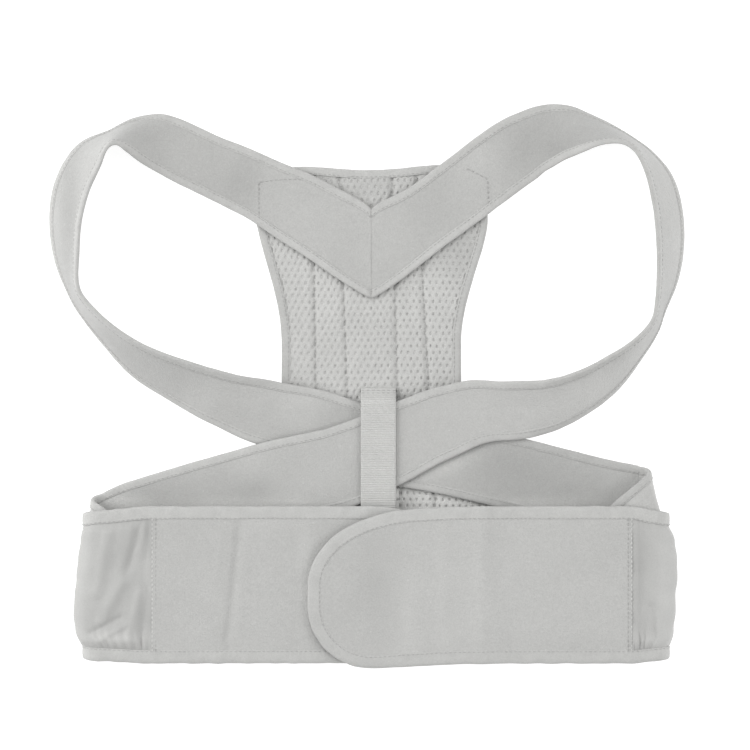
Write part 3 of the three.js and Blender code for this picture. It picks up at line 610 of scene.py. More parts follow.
def spacer_foam():
    """The pad under the mesh, and its smooth underside"""
    base = grey(0.422)
    material, nodes, links, shader = new_material("spacer_foam", base, roughness=0.95)
    place = add_node(nodes, "ShaderNodeTexCoord").outputs["Object"]
    mottled_color(nodes, links, shader, place, base, [(1200, 3, 0.1), (80, 2, 0.05)])
    cells = texture(nodes, links, "Voronoi", place, Scale=420, Randomness=0.35)
    raise_bump(nodes, links, shader, cells, strength=0.8, distance=0.0006)
    return material


def stretch_fabric():
    """The side panels' smooth stretch cloth, with a fine vertical knit"""
    base = grey(0.355)
    material, nodes, links, shader = new_material(
        "stretch_fabric", base, roughness=0.6, sheen=0.2, sheen_roughness=0.35
    )
    place = add_node(nodes, "ShaderNodeTexCoord")
    along_cloth = place.outputs["UV"]
    mottled_color(nodes, links, shader, place.outputs["Object"], base, [(1100, 3, 0.05), (40, 2, 0.03)])
    knit = texture(nodes, links, "Wave", along_cloth, Scale=500, Distortion=0.5, set_bands_direction=ALONG)
    first = raise_bump(nodes, links, shader, knit, strength=0.2, distance=0.0002)
    grain = texture(nodes, links, "Noise", place.outputs["Object"], Scale=1000, Detail=3)
    raise_bump(nodes, links, shader, grain, strength=0.3, distance=0.0003, before=first)
    return material


def sewing_thread(name, base):
    """Thread, of one shade for each kind of seam"""
    material, nodes, links, shader = new_material(name, base, roughness=0.6, sheen=0.1, sheen_roughness=0.4)
    place = add_node(nodes, "ShaderNodeTexCoord").outputs["Object"]
    mottled_color(nodes, links, shader, place, base, [(2500, 2, 0.15)])
    return material


def hook_tape():
    """The hidden hook patch: stiff plastic hooks close together"""
    base = grey(0.3)
    material, nodes, links, shader = new_material("hook_tape", base, roughness=0.5)
    place = add_node(nodes, "ShaderNodeTexCoord").outputs["Object"]
    mottled_color(nodes, links, shader, place, base, [(900, 2, 0.15)])
    hooks = texture(nodes, links, "Voronoi", place, Scale=900, Randomness=0.2)
    raise_bump(nodes, links, shader, hooks, strength=1.0, distance=0.001)
    return material


FINISH = {
    "loop": brushed_loop_fabric(),
    "tape": ribbed_tape(),
    "webbing": elastic_webbing(),
    "mesh": mesh_threads(),
    "foam": spacer_foam(),
    "stretch": stretch_fabric(),
    "thread": sewing_thread("sewing_thread", grey(0.31)),
    "channel_thread": sewing_thread("channel_thread", grey(0.37)),
    "seam_thread": sewing_thread("seam_thread", grey(0.6)),
    "hooks": hook_tape(),
}


# Stitches


class Stitches:
    """Collects sewn lines, each a row of points with the direction that the thread stands out in"""

    def __init__(self):
        self.points, self.rises, self.edges = [], [], []

    def add(self, points, rises):
        start = len(self.points)
        self.points += [p for p in np.asarray(points)]
        self.rises += [r for r in np.broadcast_to(rises, np.shape(points))]
        self.edges += [(start + i, start + i + 1) for i in range(len(points) - 1)]


def new_tree(name, sockets):
    """A tree from geometry to geometry, with further inputs by name and kind"""
    tree = bpy.data.node_groups.new(name, "GeometryNodeTree")
    for label, kind in (("Geometry", "Geometry"), *sockets):
        tree.interface.new_socket(label, in_out="INPUT", socket_type=f"NodeSocket{kind}")
    tree.interface.new_socket("Geometry", in_out="OUTPUT", socket_type="NodeSocketGeometry")
    return tree, tree.nodes.new("NodeGroupInput"), tree.nodes.new("NodeGroupOutput")


def set_out(tree, points, shape, material, output, weld=None):
    """Lays the shape on every point as real faces, smooth and painted; gives the node that places it"""
    nodes, link = tree.nodes, tree.links.new
    place, real = nodes.new("GeometryNodeInstanceOnPoints"), nodes.new("GeometryNodeRealizeInstances")
    soft, paint = nodes.new("GeometryNodeSetShadeSmooth"), nodes.new("GeometryNodeSetMaterial")
    link(points, place.inputs["Points"])
    link(shape, place.inputs["Instance"])
    link(place.outputs[0], real.inputs[0])
    made = real.outputs[0]
    if weld is not None:
        merge = add_node(nodes, "GeometryNodeMergeByDistance", Distance=weld)
        link(made, merge.inputs[0])
        made = merge.outputs[0]
    link(made, soft.inputs[0])
    link(soft.outputs[0], paint.inputs["Geometry"])
    link(material, paint.inputs["Material"])
    link(paint.outputs[0], output.inputs[0])
    return place


# The smallest and the largest share of its size that a stitch has: along, across and out of the cloth
STITCH_VARIES = ((0.9, 0.9, 0.9), (1.06, 1.1, 1.1))


def stitch_tree():
    """Resamples a sewn line at the stitch pitch and lays a short rounded thread at each place"""
    numbers = [("Pitch", "Float"), ("Length", "Float"), ("Thread radius", "Float")]
    tree, inputs, output = new_tree("Sewn line", [*numbers, ("Thread", "Material")])
    nodes, link = tree.nodes, tree.links.new
    curve = nodes.new("GeometryNodeMeshToCurve")
    resample = add_node(nodes, "GeometryNodeResampleCurve", set_mode="LENGTH")
    tangent = nodes.new("GeometryNodeInputTangent")
    rise = add_node(nodes, "GeometryNodeInputNamedAttribute", set_data_type="FLOAT_VECTOR", Name="rise")
    turn = add_node(nodes, "FunctionNodeAxesToRotation", set_primary_axis="X", set_secondary_axis="Z")
    ball = add_node(nodes, "GeometryNodeMeshUVSphere", Segments=6, Rings=4, Radius=1)
    half = add_node(nodes, "ShaderNodeMath", set_operation="MULTIPLY")
    half.inputs[1].default_value = 0.5
    size = nodes.new("ShaderNodeCombineXYZ")
    shape = nodes.new("GeometryNodeTransform")
    vary = add_node(nodes, "FunctionNodeRandomValue", set_data_type="FLOAT_VECTOR", Seed=5)
    vary.inputs[0].default_value, vary.inputs[1].default_value = STITCH_VARIES
    link(inputs.outputs["Geometry"], curve.inputs[0])
    link(curve.outputs[0], resample.inputs[0])
    link(inputs.outputs["Pitch"], resample.inputs["Length"])
    link(tangent.outputs[0], turn.inputs["Primary Axis"])
    link(rise.outputs["Attribute"], turn.inputs["Secondary Axis"])
    link(inputs.outputs["Length"], half.inputs[0])
    link(half.outputs[0], size.inputs[0])
    link(inputs.outputs["Thread radius"], size.inputs[1])
    link(inputs.outputs["Thread radius"], size.inputs[2])
    link(ball.outputs["Mesh"], shape.inputs["Geometry"])
    link(size.outputs[0], shape.inputs["Scale"])
    place = set_out(tree, resample.outputs[0], shape.outputs[0], inputs.outputs["Thread"], output)
    link(turn.outputs[0], place.inputs["Rotation"])
    link(vary.outputs["Value"], place.inputs["Scale"])
    return tree


def loose_points(name, points, edges=()):
    """An object of bare points in millimetres and their edges, for a tree to work on"""
    mesh = bpy.data.meshes.new(name)
    mesh.from_pydata((np.array(points) * MM).tolist(), list(edges), [])
    obj = bpy.data.objects.new(name, mesh)
    bpy.context.scene.collection.objects.link(obj)
    return obj


def run_tree(obj, tree, values):
    """Sets the tree's inputs by name, and keeps what it makes as the object's own plain mesh"""
    modifier = obj.modifiers.new("Nodes", "NODES")
    modifier.node_group = tree
    for item in tree.interface.items_tree:
        if item.item_type == "SOCKET" and item.in_out == "INPUT" and item.name in values:
            modifier[item.identifier] = values[item.name]
    depsgraph = bpy.context.evaluated_depsgraph_get()
    depsgraph.update()
    made = bpy.data.meshes.new_from_object(obj.evaluated_get(depsgraph), depsgraph=depsgraph)
    obj.modifiers.remove(modifier)
    obj.data = made
    made.name = obj.name


def sew(name, lines, tree, length=2.5, pitch=3.3, radius=0.27, thread="thread"):
    """All the stitches of some sewn lines as one piece"""
    obj = loose_points(name, lines.points, lines.edges)
    rise = obj.data.attributes.new("rise", "FLOAT_VECTOR", "POINT")
    rise.data.foreach_set("vector", unit(np.array(lines.rises)).astype(np.float32).ravel())
    sizes = {"Pitch": pitch * MM, "Length": length * MM, "Thread radius": radius * MM}
    run_tree(obj, tree, {**sizes, "Thread": FINISH[thread]})
    return obj


# Straps


def strap_rows(loop, tail, turn):
    """Every place along a strap as an array: x, y, across, lean, width, height of the outer edge"""

    def loop_row(x, y, across, lean, width, rest, lift):
        return [x * LOOP_REACH, y * HALF_LENGTH, across, lean, width, REST[rest] * lift]

    def tail_row(x, y, across, lean, width, rest, lift):
        place = [BELT_SHIFT + x * BELT_WIDTH / 2, BELT_TOP_Y - y * BELT_HEIGHT]
        return [*place, across, lean, width, REST[rest] * lift]

    rows = [loop_row(*r) for r in loop] + [tail_row(*r) for r in tail]
    side, apex, drift, end = turn
    radius = (REST["front"] - REST["wing"]) / 2
    top = tail_row(*apex)
    angle = math.radians(apex[2])
    axis = np.array([math.cos(angle), math.sin(angle)])
    outward = np.array([-axis[1], axis[0]]) * side
    turned = []
    for share in TURN_SHARES:
        out = radius * (math.sin(share * math.pi) - 1)
        down = drift * BELT_HEIGHT * (share - 0.5)
        x, y = np.array(top[:2]) + outward * out + axis * down
        turned.append([x, y, *top[2:5], REST["wing"] + radius * (1 - math.cos(share * math.pi))])
    sewn = tail_row(*end)
    first = turned[-1]
    run = []
    for t in END_SHARES:
        row = [a + (b - a) * t for a, b in zip(first, sewn)]
        row[2] = first[2] + (sewn[2] - first[2]) * float(smooth(t))
        row[5] = sewn[5]
        run.append(row)
    return np.array(rows + turned + run)


def curve_at(rows, t):
    """The row at a share of the way from the second to the third of four, on a smooth curve through them"""
    a, b, c, d = rows
    square = (2 * a - 5 * b + 4 * c - d) * t**2
    cube = (3 * (b - c) + d - a) * t**3
    return 0.5 * (2 * b + (c - a) * t + square + cube)


def strap_places(rows):
    """Middle point, unit direction across, and width at finely spaced places"""
    middles, acrosses, widths = [], [], []
    last = len(rows) - 1
    for i in range(last):
        near = [rows[min(last, max(0, i + k))] for k in (-1, 0, 1, 2)]
        _, _, _, from_lean, from_width, from_height = near[1]
        _, _, _, to_lean, to_width, to_height = near[2]
        for t in np.arange(PLACES_PER_ROW + (i == last - 1)) / PLACES_PER_ROW:
            x, y, turn, lean = curve_at(near, t)[:4]
            turn, lean = math.radians(turn), math.radians(max(0, lean))
            flat = math.cos(lean)
            soft = float(smooth(t))
            width = (from_width + (to_width - from_width) * soft) * STRAP_WIDTH
            eased = soft if from_lean or to_lean or from_height == to_height else t
            under = from_height + (to_height - from_height) * eased
            height = under + STRAP_BINDING_THICKNESS / 2 * flat + width / 2 * math.sin(lean)
            middles.append((x, y, height))
            acrosses.append((math.cos(turn) * flat, math.sin(turn) * flat, -math.sin(lean)))
            widths.append(width)
    return np.array(middles), np.array(acrosses), np.array(widths)


# Each strap's tables, and the sign of its side
STRAPS = {
    "left": (LEFT_LOOP, LEFT_TAIL, LEFT_TURN, -1),
    "right": (RIGHT_LOOP, RIGHT_TAIL, RIGHT_TURN, 1),
}
STRAP_SOFTENING = 6

# A strap's cloth: its points across, how much thinner it is at its edges and thicker in its middle, and the
# depth and wavelength of its waves
STRAP_COLUMNS = 19
STRAP_EDGE_THINNER = 0.25
STRAP_CROWN = 0.35
LONG_WAVE = (0.35, 46.0)
SHORT_WAVE = (0.12, 15.0)


def soften(values, passes):
    """Evens out rows along a path, leaving its ends"""
    values = values.copy()
    for _ in range(passes):
        values[1:-1] = 0.25 * values[:-2] + 0.5 * values[1:-1] + 0.25 * values[2:]
    return values


def strap_surface(side):
    """The strap's places with the face that lies upwards at the yoke"""
    loop, tail, turn, facing = STRAPS[side]
    rows = strap_rows(loop, tail, turn)
    rows[0][0] = facing * YOKE_HALF_GAP
    middles, acrosses, widths = strap_places(rows)
    middles = soften(middles, STRAP_SOFTENING)
    acrosses = unit(soften(acrosses, STRAP_SOFTENING))
    along = np.gradient(middles, axis=0)
    normals = unit(np.cross(along, acrosses)) * facing
    return middles, acrosses, widths, normals


def sew_both_faces(stitches, sewn, normal, height):
    """The same row of stitches on both faces of a tape"""
    for up in (1, -1):
        stitches.add(sewn + normal * up * height, normal * up)


def shoulder_strap(side, stitches):
    """A strap's cloth, a little crowned and wavy, and the tapes on its inner and outer edge"""
    middles, acrosses, widths, normals = strap_surface(side)
    tuck = STRAP_BINDING_WIDTH - STRAP_UNDER_TAPE
    shares = np.linspace(0, 1, STRAP_COLUMNS)
    spans = tuck + (widths[:, None] - 2 * tuck) * shares[None, :]
    grid = middles[:, None, :] + acrosses[:, None, :] * (spans - widths[:, None] / 2)[..., None]
    facing = STRAPS[side][3]
    crown = np.sin(math.pi * shares)[None, :]
    thickness = (STRAP_THICKNESS - STRAP_EDGE_THINNER) + STRAP_CROWN * crown
    wave = uneven(grid, *LONG_WAVE, 11 + (facing > 0)) + uneven(grid, *SHORT_WAVE, 13 + (facing > 0))
    uv = as_points(distances_along(middles)[:, None], spans)
    if facing < 0:
        grid, thickness, wave, uv = grid[:, ::-1], thickness[:, ::-1], wave[:, ::-1], uv[:, ::-1]
    strap = slab(f"strap_{side}", grid, thickness, FINISH["loop"], uv, shift=wave * crown)
    bindings = []
    for edge, sign in (("inner", 1), ("outer", -1)):
        line = middles - sign * acrosses * (widths / 2)[:, None]
        inward = sign * acrosses
        name = f"strap_tape_{side}_{edge}"
        seed = 20 + 3 * len(bindings) + (10 if facing > 0 else 0)
        size = (STRAP_BINDING_WIDTH, STRAP_BINDING_THICKNESS)
        bindings.append(tape(name, line, inward, normals, *size, FINISH["tape"], seed))
        sewn = line + inward * (STRAP_BINDING_WIDTH * STRAP_SEWN)
        height = STRAP_BINDING_THICKNESS / 2 * STRAP_SEWN_HEIGHT + STITCH_LIFT
        sew_both_faces(stitches, sewn, normals, height)
    return strap, bindings


# Where the yoke is sewn down over the panel's top corners, as rows of places in plan
YOKE_LINES = {
    "left": [(-51, 164.4), (-66, 164), (-80, 162.3), (-80, 148), (-79.6, 134)],
    "right": [(69, 171.4), (76, 168), (82.6, 164.4), (83.2, 152), (83.4, 141)],
}
YOKE_LOWEST_Y = 60
YOKE_PLACES = 40
NEAR_POINTS = 6


def yoke_stitches(strap, side, stitches):
    """Lays the sewn lines on top of the strap, at the height of the points near them"""
    place = read_points(strap)
    place = place[: len(place) // 2] / MM
    place = place[place[:, 1] > YOKE_LOWEST_Y]
    corners = np.array(YOKE_LINES[side], float)
    steps = distances_along(corners)
    travel = np.linspace(0, steps[-1], YOKE_PLACES)
    line = np.stack([np.interp(travel, steps, corners[:, k]) for k in (0, 1)], -1)
    heights = []
    for point in line:
        away = np.linalg.norm(place[:, :2] - point, axis=1)
        near = np.argsort(away)[:NEAR_POINTS]
        heights.append(place[near, 2].max())
    stitches.add(np.hstack([line, np.array(heights)[:, None] + 0.1]), UP)


# Back panel


# The waist's place and the flare's start as shares of half the panel's length, how far down towards the waist
# each side stays straight, and how far above the belt's top the flare ends, as a share of the belt's height
WAIST_PLACE = 0.28
LEFT_STRAIGHT = 0.27
RIGHT_STRAIGHT = 0.33
FLARE_START = 0.02
FLARE_END = 0.15


def panel_half_width(y, x):
    """Half the panel's width at y, on the side that x lies on"""
    waist_y = HALF_LENGTH * WAIST_PLACE
    down = (HALF_LENGTH - y) / (HALF_LENGTH - waist_y)
    straight = np.where(np.asarray(x) < 0, LEFT_STRAIGHT, RIGHT_STRAIGHT)
    bent = np.clip((down - straight) / (1 - straight), 0, 1)
    narrowing = (np.sin((math.pi / 2) * bent) + smooth(bent)) / 2
    start, end = FLARE_START * HALF_LENGTH, BELT_TOP_Y + FLARE_END * BELT_HEIGHT
    flare = smooth((start - y) / (start - end))
    upper = PANEL_TOP_WIDTH + (PANEL_WAIST_WIDTH - PANEL_TOP_WIDTH) * narrowing
    return (upper + (PANEL_FOOT_WIDTH - upper) * flare) / 2


def panel_top_shift(share, down):
    """How far the panel's top edge lies above its straight line, fading out a little way down"""
    wave = 0.5 * PANEL_CORNER_DROP * np.sin(0.75 * math.pi * np.abs(share)) ** 2
    drop = PANEL_CORNER_DROP * np.abs(share) ** 6
    return (wave - drop - PANEL_TOP_DIP + PANEL_TOP_TILT * share) * (1 - smooth(down / 0.12))


def panel_outline(side_count=90, end_count=50):
    """Points round the panel's edge: down the right side, along the foot, up the left side, along the top"""
    down = np.linspace(0, 1, side_count)
    across = np.linspace(-1, 1, end_count)[1:-1]
    right, foot = [(1, d) for d in down], [(-s, 1) for s in across]
    left, top = [(-1, 1 - d) for d in down], [(s, 0) for s in across]
    share, d = np.array(right + foot + left + top, float).T
    y = HALF_LENGTH + (-2 * HALF_LENGTH) * d
    return np.stack([share * panel_half_width(y, share), y + panel_top_shift(share, d)], -1)


def outline_inward(points):
    """The way inwards at each point of a closed outline, longer at its corners"""
    before, after = np.roll(points, 1, 0), np.roll(points, -1, 0)
    first, second = unit(points - before), unit(after - points)
    turned = np.stack([first[:, 1] + second[:, 1], -first[:, 0] - second[:, 0]], -1)
    return turned / (1 + np.sum(first * second, 1))[:, None]


# The y at which the channels keep their offsets, and how wide and deep their grooves are
CHANNEL_LEVEL = 30.0
CHANNEL_SPREAD = 1.9
CHANNEL_DEPTH = 1.5


def channel_x(line, y):
    """Where one of the four stitched channels runs: each leans a little from upright"""
    return CHANNEL_OFFSETS[line] - CHANNEL_LEANS[line] * (y - CHANNEL_LEVEL)


def channel_share(x, y):
    """How deep in a channel a place lies, from 0 to 1"""
    return sum(bump_at(x, channel_x(line, y), CHANNEL_SPREAD) for line in range(len(CHANNEL_OFFSETS)))


# The pad's crown, and how far in from the panel's edge it starts and over what length it rises; then the same
# for the quilting's own unevenness
PAD_CROWN = 0.55
CROWN_START = 5
CROWN_RISE = 14
QUILT_START = 4
QUILT_RISE = 8


def panel_surface(x, y):
    """Height of the padded panel's top: crowned between its stitched channels, thin at its edges"""
    half = panel_half_width(y, x)
    edge = np.minimum(half - np.abs(x), np.minimum(HALF_LENGTH - y, y + HALF_LENGTH))
    crown = PAD_CROWN * smooth((edge - CROWN_START) / CROWN_RISE)
    quilt = 0.12 * np.sin(y / 11.0 + x / 17.0) + 0.1 * np.sin(y / 6.3 - x / 9.0)
    padded = PANEL_THICKNESS - 0.2 + crown - CHANNEL_DEPTH * channel_share(x, y)
    return padded + quilt * smooth((edge - QUILT_START) / QUILT_RISE)


# How far the pad's top lies below the mesh, and its underside above the floor
PAD_BELOW_MESH = 0.34
PAD_UNDERSIDE = 0.05


def panel_pad():
    """The pad: a grid between the tapes, its top a little under the mesh, its underside flat"""
    tuck = STRAP_BINDING_WIDTH - PAD_UNDER_TAPE
    rows, columns = 120, 91
    down = np.linspace(0, 1, rows)[:, None]
    share = np.linspace(-1, 1, columns)[None, :]
    y = HALF_LENGTH - 2 * HALF_LENGTH * down
    x = share * (panel_half_width(y, share) - tuck)
    inner_y = y + panel_top_shift(share, down) + tuck * (2 * down - 1)
    top = as_points(x, inner_y, panel_surface(x, inner_y) - PAD_BELOW_MESH)
    bottom = top.copy()
    bottom[..., 2] = PAD_UNDERSIDE
    count = rows * columns
    index = np.arange(count).reshape(rows, columns)
    quads = grid_faces(index)
    border = np.concatenate([index[0, :], index[1:, -1], index[-1, -2::-1], index[-2::-1, 0]])
    faces = [quads, quads[:, ::-1] + count, walls(border, count)]
    vertices = np.concatenate([top.reshape(-1, 3), bottom.reshape(-1, 3)])
    pad = mesh_object("panel_pad", vertices, np.concatenate(faces), vertices[:, :2], FINISH["foam"])
    make_outward(pad)
    return pad


# How near two cells' corners lie to be one point, in metres
CELL_WELD = 2e-5


def lattice_tree():
    """A sheet of six-sided cells, one on each point: a raised ring of thread round an oval hole"""
    vectors = [("Cell size", "Vector"), ("Thread share", "Vector"), ("Hole share", "Vector")]
    numbers = [("Thread rise", "Float"), ("Hole fall", "Float"), ("Hole depth", "Float")]
    tree, inputs, output = new_tree("Open mesh", [*vectors, *numbers, ("Threads", "Material")])
    nodes, link = tree.nodes, tree.links.new
    position = nodes.new("GeometryNodeInputPosition")

    def moved(geometry, chosen, share, height):
        """The chosen points drawn in to a share of their place, and raised"""
        scaled = add_node(nodes, "ShaderNodeVectorMath", set_operation="MULTIPLY")
        added = add_node(nodes, "ShaderNodeVectorMath", set_operation="ADD")
        lift = nodes.new("ShaderNodeCombineXYZ")
        move = nodes.new("GeometryNodeSetPosition")
        link(position.outputs[0], scaled.inputs[0])
        link(share, scaled.inputs[1])
        link(height, lift.inputs[2])
        link(scaled.outputs[0], added.inputs[0])
        link(lift.outputs[0], added.inputs[1])
        link(geometry, move.inputs["Geometry"])
        link(chosen, move.inputs["Selection"])
        link(added.outputs[0], move.inputs["Position"])
        return move.outputs[0]

    def ringed(geometry, chosen):
        """A new row of faces inside the chosen edges"""
        extrude = add_node(nodes, "GeometryNodeExtrudeMesh", set_mode="EDGES", Offset_Scale=0)
        link(geometry, extrude.inputs["Mesh"])
        if chosen is not None:
            link(chosen, extrude.inputs["Selection"])
        return extrude.outputs["Mesh"], extrude.outputs["Top"]

    circle = add_node(nodes, "GeometryNodeMeshCircle", Vertices=12, Radius=1)
    index = nodes.new("GeometryNodeInputIndex")
    is_even = add_node(nodes, "FunctionNodeCompare", set_data_type="INT", set_operation="EQUAL")
    remainder = add_node(nodes, "ShaderNodeMath", set_operation="MODULO")
    remainder.inputs[1].default_value = 2
    link(index.outputs[0], remainder.inputs[0])
    link(remainder.outputs[0], is_even.inputs["A"])
    to_flats = math.cos(math.pi / 6)
    drawn_in = add_node(nodes, "ShaderNodeCombineXYZ", X=to_flats, Y=to_flats, Z=1)
    none = nodes.new("ShaderNodeValue")
    hexagon = moved(circle.outputs[0], is_even.outputs[0], drawn_in.outputs[0], none.outputs[0])
    sized = nodes.new("GeometryNodeTransform")
    link(hexagon, sized.inputs["Geometry"])
    link(inputs.outputs["Cell size"], sized.inputs["Scale"])
    cell, top = ringed(sized.outputs[0], None)
    cell = moved(cell, top, inputs.outputs["Thread share"], inputs.outputs["Thread rise"])
    cell, top = ringed(cell, top)
    cell = moved(cell, top, inputs.outputs["Hole share"], inputs.outputs["Hole fall"])
    cell, top = ringed(cell, top)
    in_place = add_node(nodes, "ShaderNodeCombineXYZ", X=1, Y=1, Z=1)
    cell = moved(cell, top, in_place.outputs[0], inputs.outputs["Hole depth"])
    set_out(tree, inputs.outputs["Geometry"], cell, inputs.outputs["Threads"], output, weld=CELL_WELD)
    return tree


# The knit's cells: their width, the step from row to row, the most on each side of the middle, and how far
# they keep from the panel's edge
CELL_WIDTH = 4.7
CELL_STEP = 4.55
MOST_CELLS = 30
CELL_MARGIN = 5.2

# The knit's ribs aslant: their height on the left and on the right, and where and over what length it changes
RIB_LEFT = 0.26
RIB_RIGHT = 0.1
RIB_CHANGE_X = -45
RIB_CHANGE_LENGTH = 80


def knit_unevenly(place):
    """The flat sheet of cells drawn a little out of line, laid on the pad and ribbed aslant"""
    flat = place * [1, 1, 0]
    place[:, 0] += 0.22 * ripple(flat, 13.0, 72) + 0.5 * np.sin(place[:, 1] / 23.0 + place[:, 0] / 31.0)
    place[:, 1] += 0.2 * ripple(flat, 11.0, 73) + 0.4 * np.sin(place[:, 0] / 19.0)
    slant = np.cos(2 * math.pi * (flat[:, 0] / CELL_WIDTH - flat[:, 1] / (2 * CELL_STEP)))
    fading = RIB_LEFT - (RIB_LEFT - RIB_RIGHT) * smooth((flat[:, 0] - RIB_CHANGE_X) / RIB_CHANGE_LENGTH)
    place[:, 2] += panel_surface(place[:, 0], place[:, 1]) + 0.14 * ripple(flat, 6.0, 71) - fading * slant
    return place


def open_mesh():
    """The spacer mesh's face: the cells of the tree, laid on the padded surface"""
    points = []
    for r in range(int(PANEL_LENGTH / CELL_STEP) + 2):
        y = -HALF_LENGTH + r * CELL_STEP
        for c in range(-MOST_CELLS, MOST_CELLS + 1):
            x = (c + 0.5 * (r % 2)) * CELL_WIDTH
            half = panel_half_width(y, x)
            top = HALF_LENGTH + panel_top_shift(x / half, 0.0)
            if abs(x) < half - CELL_MARGIN and CELL_MARGIN - HALF_LENGTH < y < top - CELL_MARGIN:
                points.append((x, y, 0.0))
    obj = loose_points("panel_mesh", points)
    radius = CELL_WIDTH / math.sqrt(3) * MM
    tall = CELL_STEP / (CELL_WIDTH * math.sqrt(3) / 2)
    values = {
        "Cell size": (radius, radius * tall, 1.0),
        "Thread share": (0.64, 0.68, 1.0),
        "Thread rise": 0.13 * MM,
        "Hole share": (0.4, 0.5, 1.0),
        "Hole fall": -0.14 * MM,
        "Hole depth": -0.16 * MM,
        "Threads": FINISH["mesh"],
    }
    run_tree(obj, lattice_tree(), values)
    place = knit_unevenly(read_points(obj).astype(float) / MM)
    obj.data.vertices.foreach_set("co", (place * MM).astype(np.float32).ravel())
    obj.data.update()
    return obj


def panel_tape(stitches):
    """The tape round the panel, with its row of stitches on the upper face"""
    outline = panel_outline()
    inward = outline_inward(outline)
    flat = np.zeros((len(outline), 1))
    edge = np.hstack([outline, flat + PANEL_TOP / 2])
    towards = np.hstack([inward, flat])
    up = np.broadcast_to(UP, edge.shape)
    size = (STRAP_BINDING_WIDTH, PANEL_TOP - 0.1)
    made = tape("panel_tape", edge, towards, up, *size, FINISH["tape"], 41, ring=True)
    sewn = edge + towards * (STRAP_BINDING_WIDTH * STRAP_SEWN)
    sewn = np.vstack([sewn, sewn[:1]])
    stitches.add(sewn + [0, 0, PANEL_TOP / 2 * STRAP_SEWN_HEIGHT], UP)
    return made


# How far the channels' stitches keep from the panel's top and foot
CHANNEL_FROM_TOP = 8
CHANNEL_FROM_FOOT = 7


def channel_stitches(stitches):
    """A row of stitches down each of the four channels"""
    ys = np.linspace(HALF_LENGTH - CHANNEL_FROM_TOP, CHANNEL_FROM_FOOT - HALF_LENGTH, 200)
    for line in range(len(CHANNEL_OFFSETS)):
        xs = channel_x(line, ys)
        stitches.add(as_points(xs, ys, panel_surface(xs, ys) + 0.3), UP)


# Webbing keeper


# The band's upper end as a share of half the panel's length, and its lower end of the belt's height below the
# belt's top
WEBBING_TOP = 0.0925
WEBBING_FOOT = 0.155

# How far the rows of stitches lie from the band's ends, and keep from its edges
WEBBING_ROWS = (1.6, 3.6)
WEBBING_ROW_MARGIN = 1.5

# How the band thins towards its two edges: shares of half its width and of its thickness
WEBBING_SECTION = [
    (-1, 0.35), (-0.985, 0.75), (-0.9, 1), (-0.6, 1), (-0.3, 1), (0, 1), (0.3, 1), (0.6, 1), (0.9, 1),
    (0.985, 0.75), (1, 0.35),
]


def webbing_keeper(stitches):
    """The band over the crossed straps, sewn to the panel with two rows at each end"""
    low = PANEL_TOP + GAP + WEBBING_THICKNESS / 2
    top_y = WEBBING_TOP * HALF_LENGTH
    bottom_y = BELT_TOP_Y - WEBBING_FOOT * BELT_HEIGHT
    ramp = WEBBING_SEWN_END + WEBBING_RAMP
    path = [
        (top_y, low), (top_y - WEBBING_SEWN_END, low), (top_y - ramp, WEBBING_HIGH),
        (bottom_y + ramp, WEBBING_HIGH), (bottom_y + WEBBING_SEWN_END, low), (bottom_y, low),
    ]
    ys = np.linspace(top_y, bottom_y, 150)
    knots = np.array(path)[::-1]
    zs = soften(np.interp(ys, knots[:, 0], knots[:, 1]), 5)
    half = WEBBING_WIDTH / 2
    across, thinned = np.array(WEBBING_SECTION).T
    across = half * across[None, :]
    grid = as_points(WEBBING_OFFSET + across, ys[:, None], zs[:, None])
    grid[..., 2] += 0.1 * ripple(grid, 30.0, 81)
    uv = as_points(-ys[:, None], across)
    made = slab("webbing_band", grid, WEBBING_THICKNESS * thinned[None, :], FINISH["webbing"], uv)
    reach = half - WEBBING_ROW_MARGIN
    xs = np.linspace(WEBBING_OFFSET - reach, WEBBING_OFFSET + reach, 24)
    for y in (*(top_y - row for row in WEBBING_ROWS), *(bottom_y + row for row in WEBBING_ROWS)):
        z = float(np.interp(-y, -ys, zs)) + WEBBING_THICKNESS / 2 + 0.05
        stitches.add(as_points(xs, y, z), UP)
    return made


# Belt


# Over what shares of a front panel's length the left one sags, the right one comes down behind the left one's
# end, and the right one's end droops
SAG_SHARE = 0.45
STEP_SHARE = 0.12
DROOP_SHARE = 0.35


def left_panel_z(x):
    """The height of the left front panel's middle, which sags towards its hidden end"""
    return FRONT_MID - LEFT_SAG * smooth((x - LEFT_SEAM_X) / (SAG_SHARE * BELT_PANEL_LENGTH))


def right_panel_z(x):
    """The height of the right front panel's middle, raised where it laps over the left one"""
    raised = FRONT_MID - LEFT_SAG + OVERLAP_STEP
    past = (x - LEFT_PANEL_END_X) / (STEP_SHARE * BELT_PANEL_LENGTH)
    return raised + (FRONT_MID - raised) * smooth(past)


def right_droop(x):
    """How far the right front panel's end droops down the picture"""
    return TAB_DROOP * smooth((LEFT_PANEL_END_X - x) / (DROOP_SHARE * BELT_PANEL_LENGTH))


# Each front panel: x at its seam and at its end, the sign of its side, its middle's height and its droop
BELT_PANELS = {
    "left": (LEFT_SEAM_X, LEFT_PANEL_END_X, -1, left_panel_z, lambda x: 0 * x),
    "right": (RIGHT_SEAM_X, RIGHT_PANEL_END_X, 1, right_panel_z, right_droop),
}


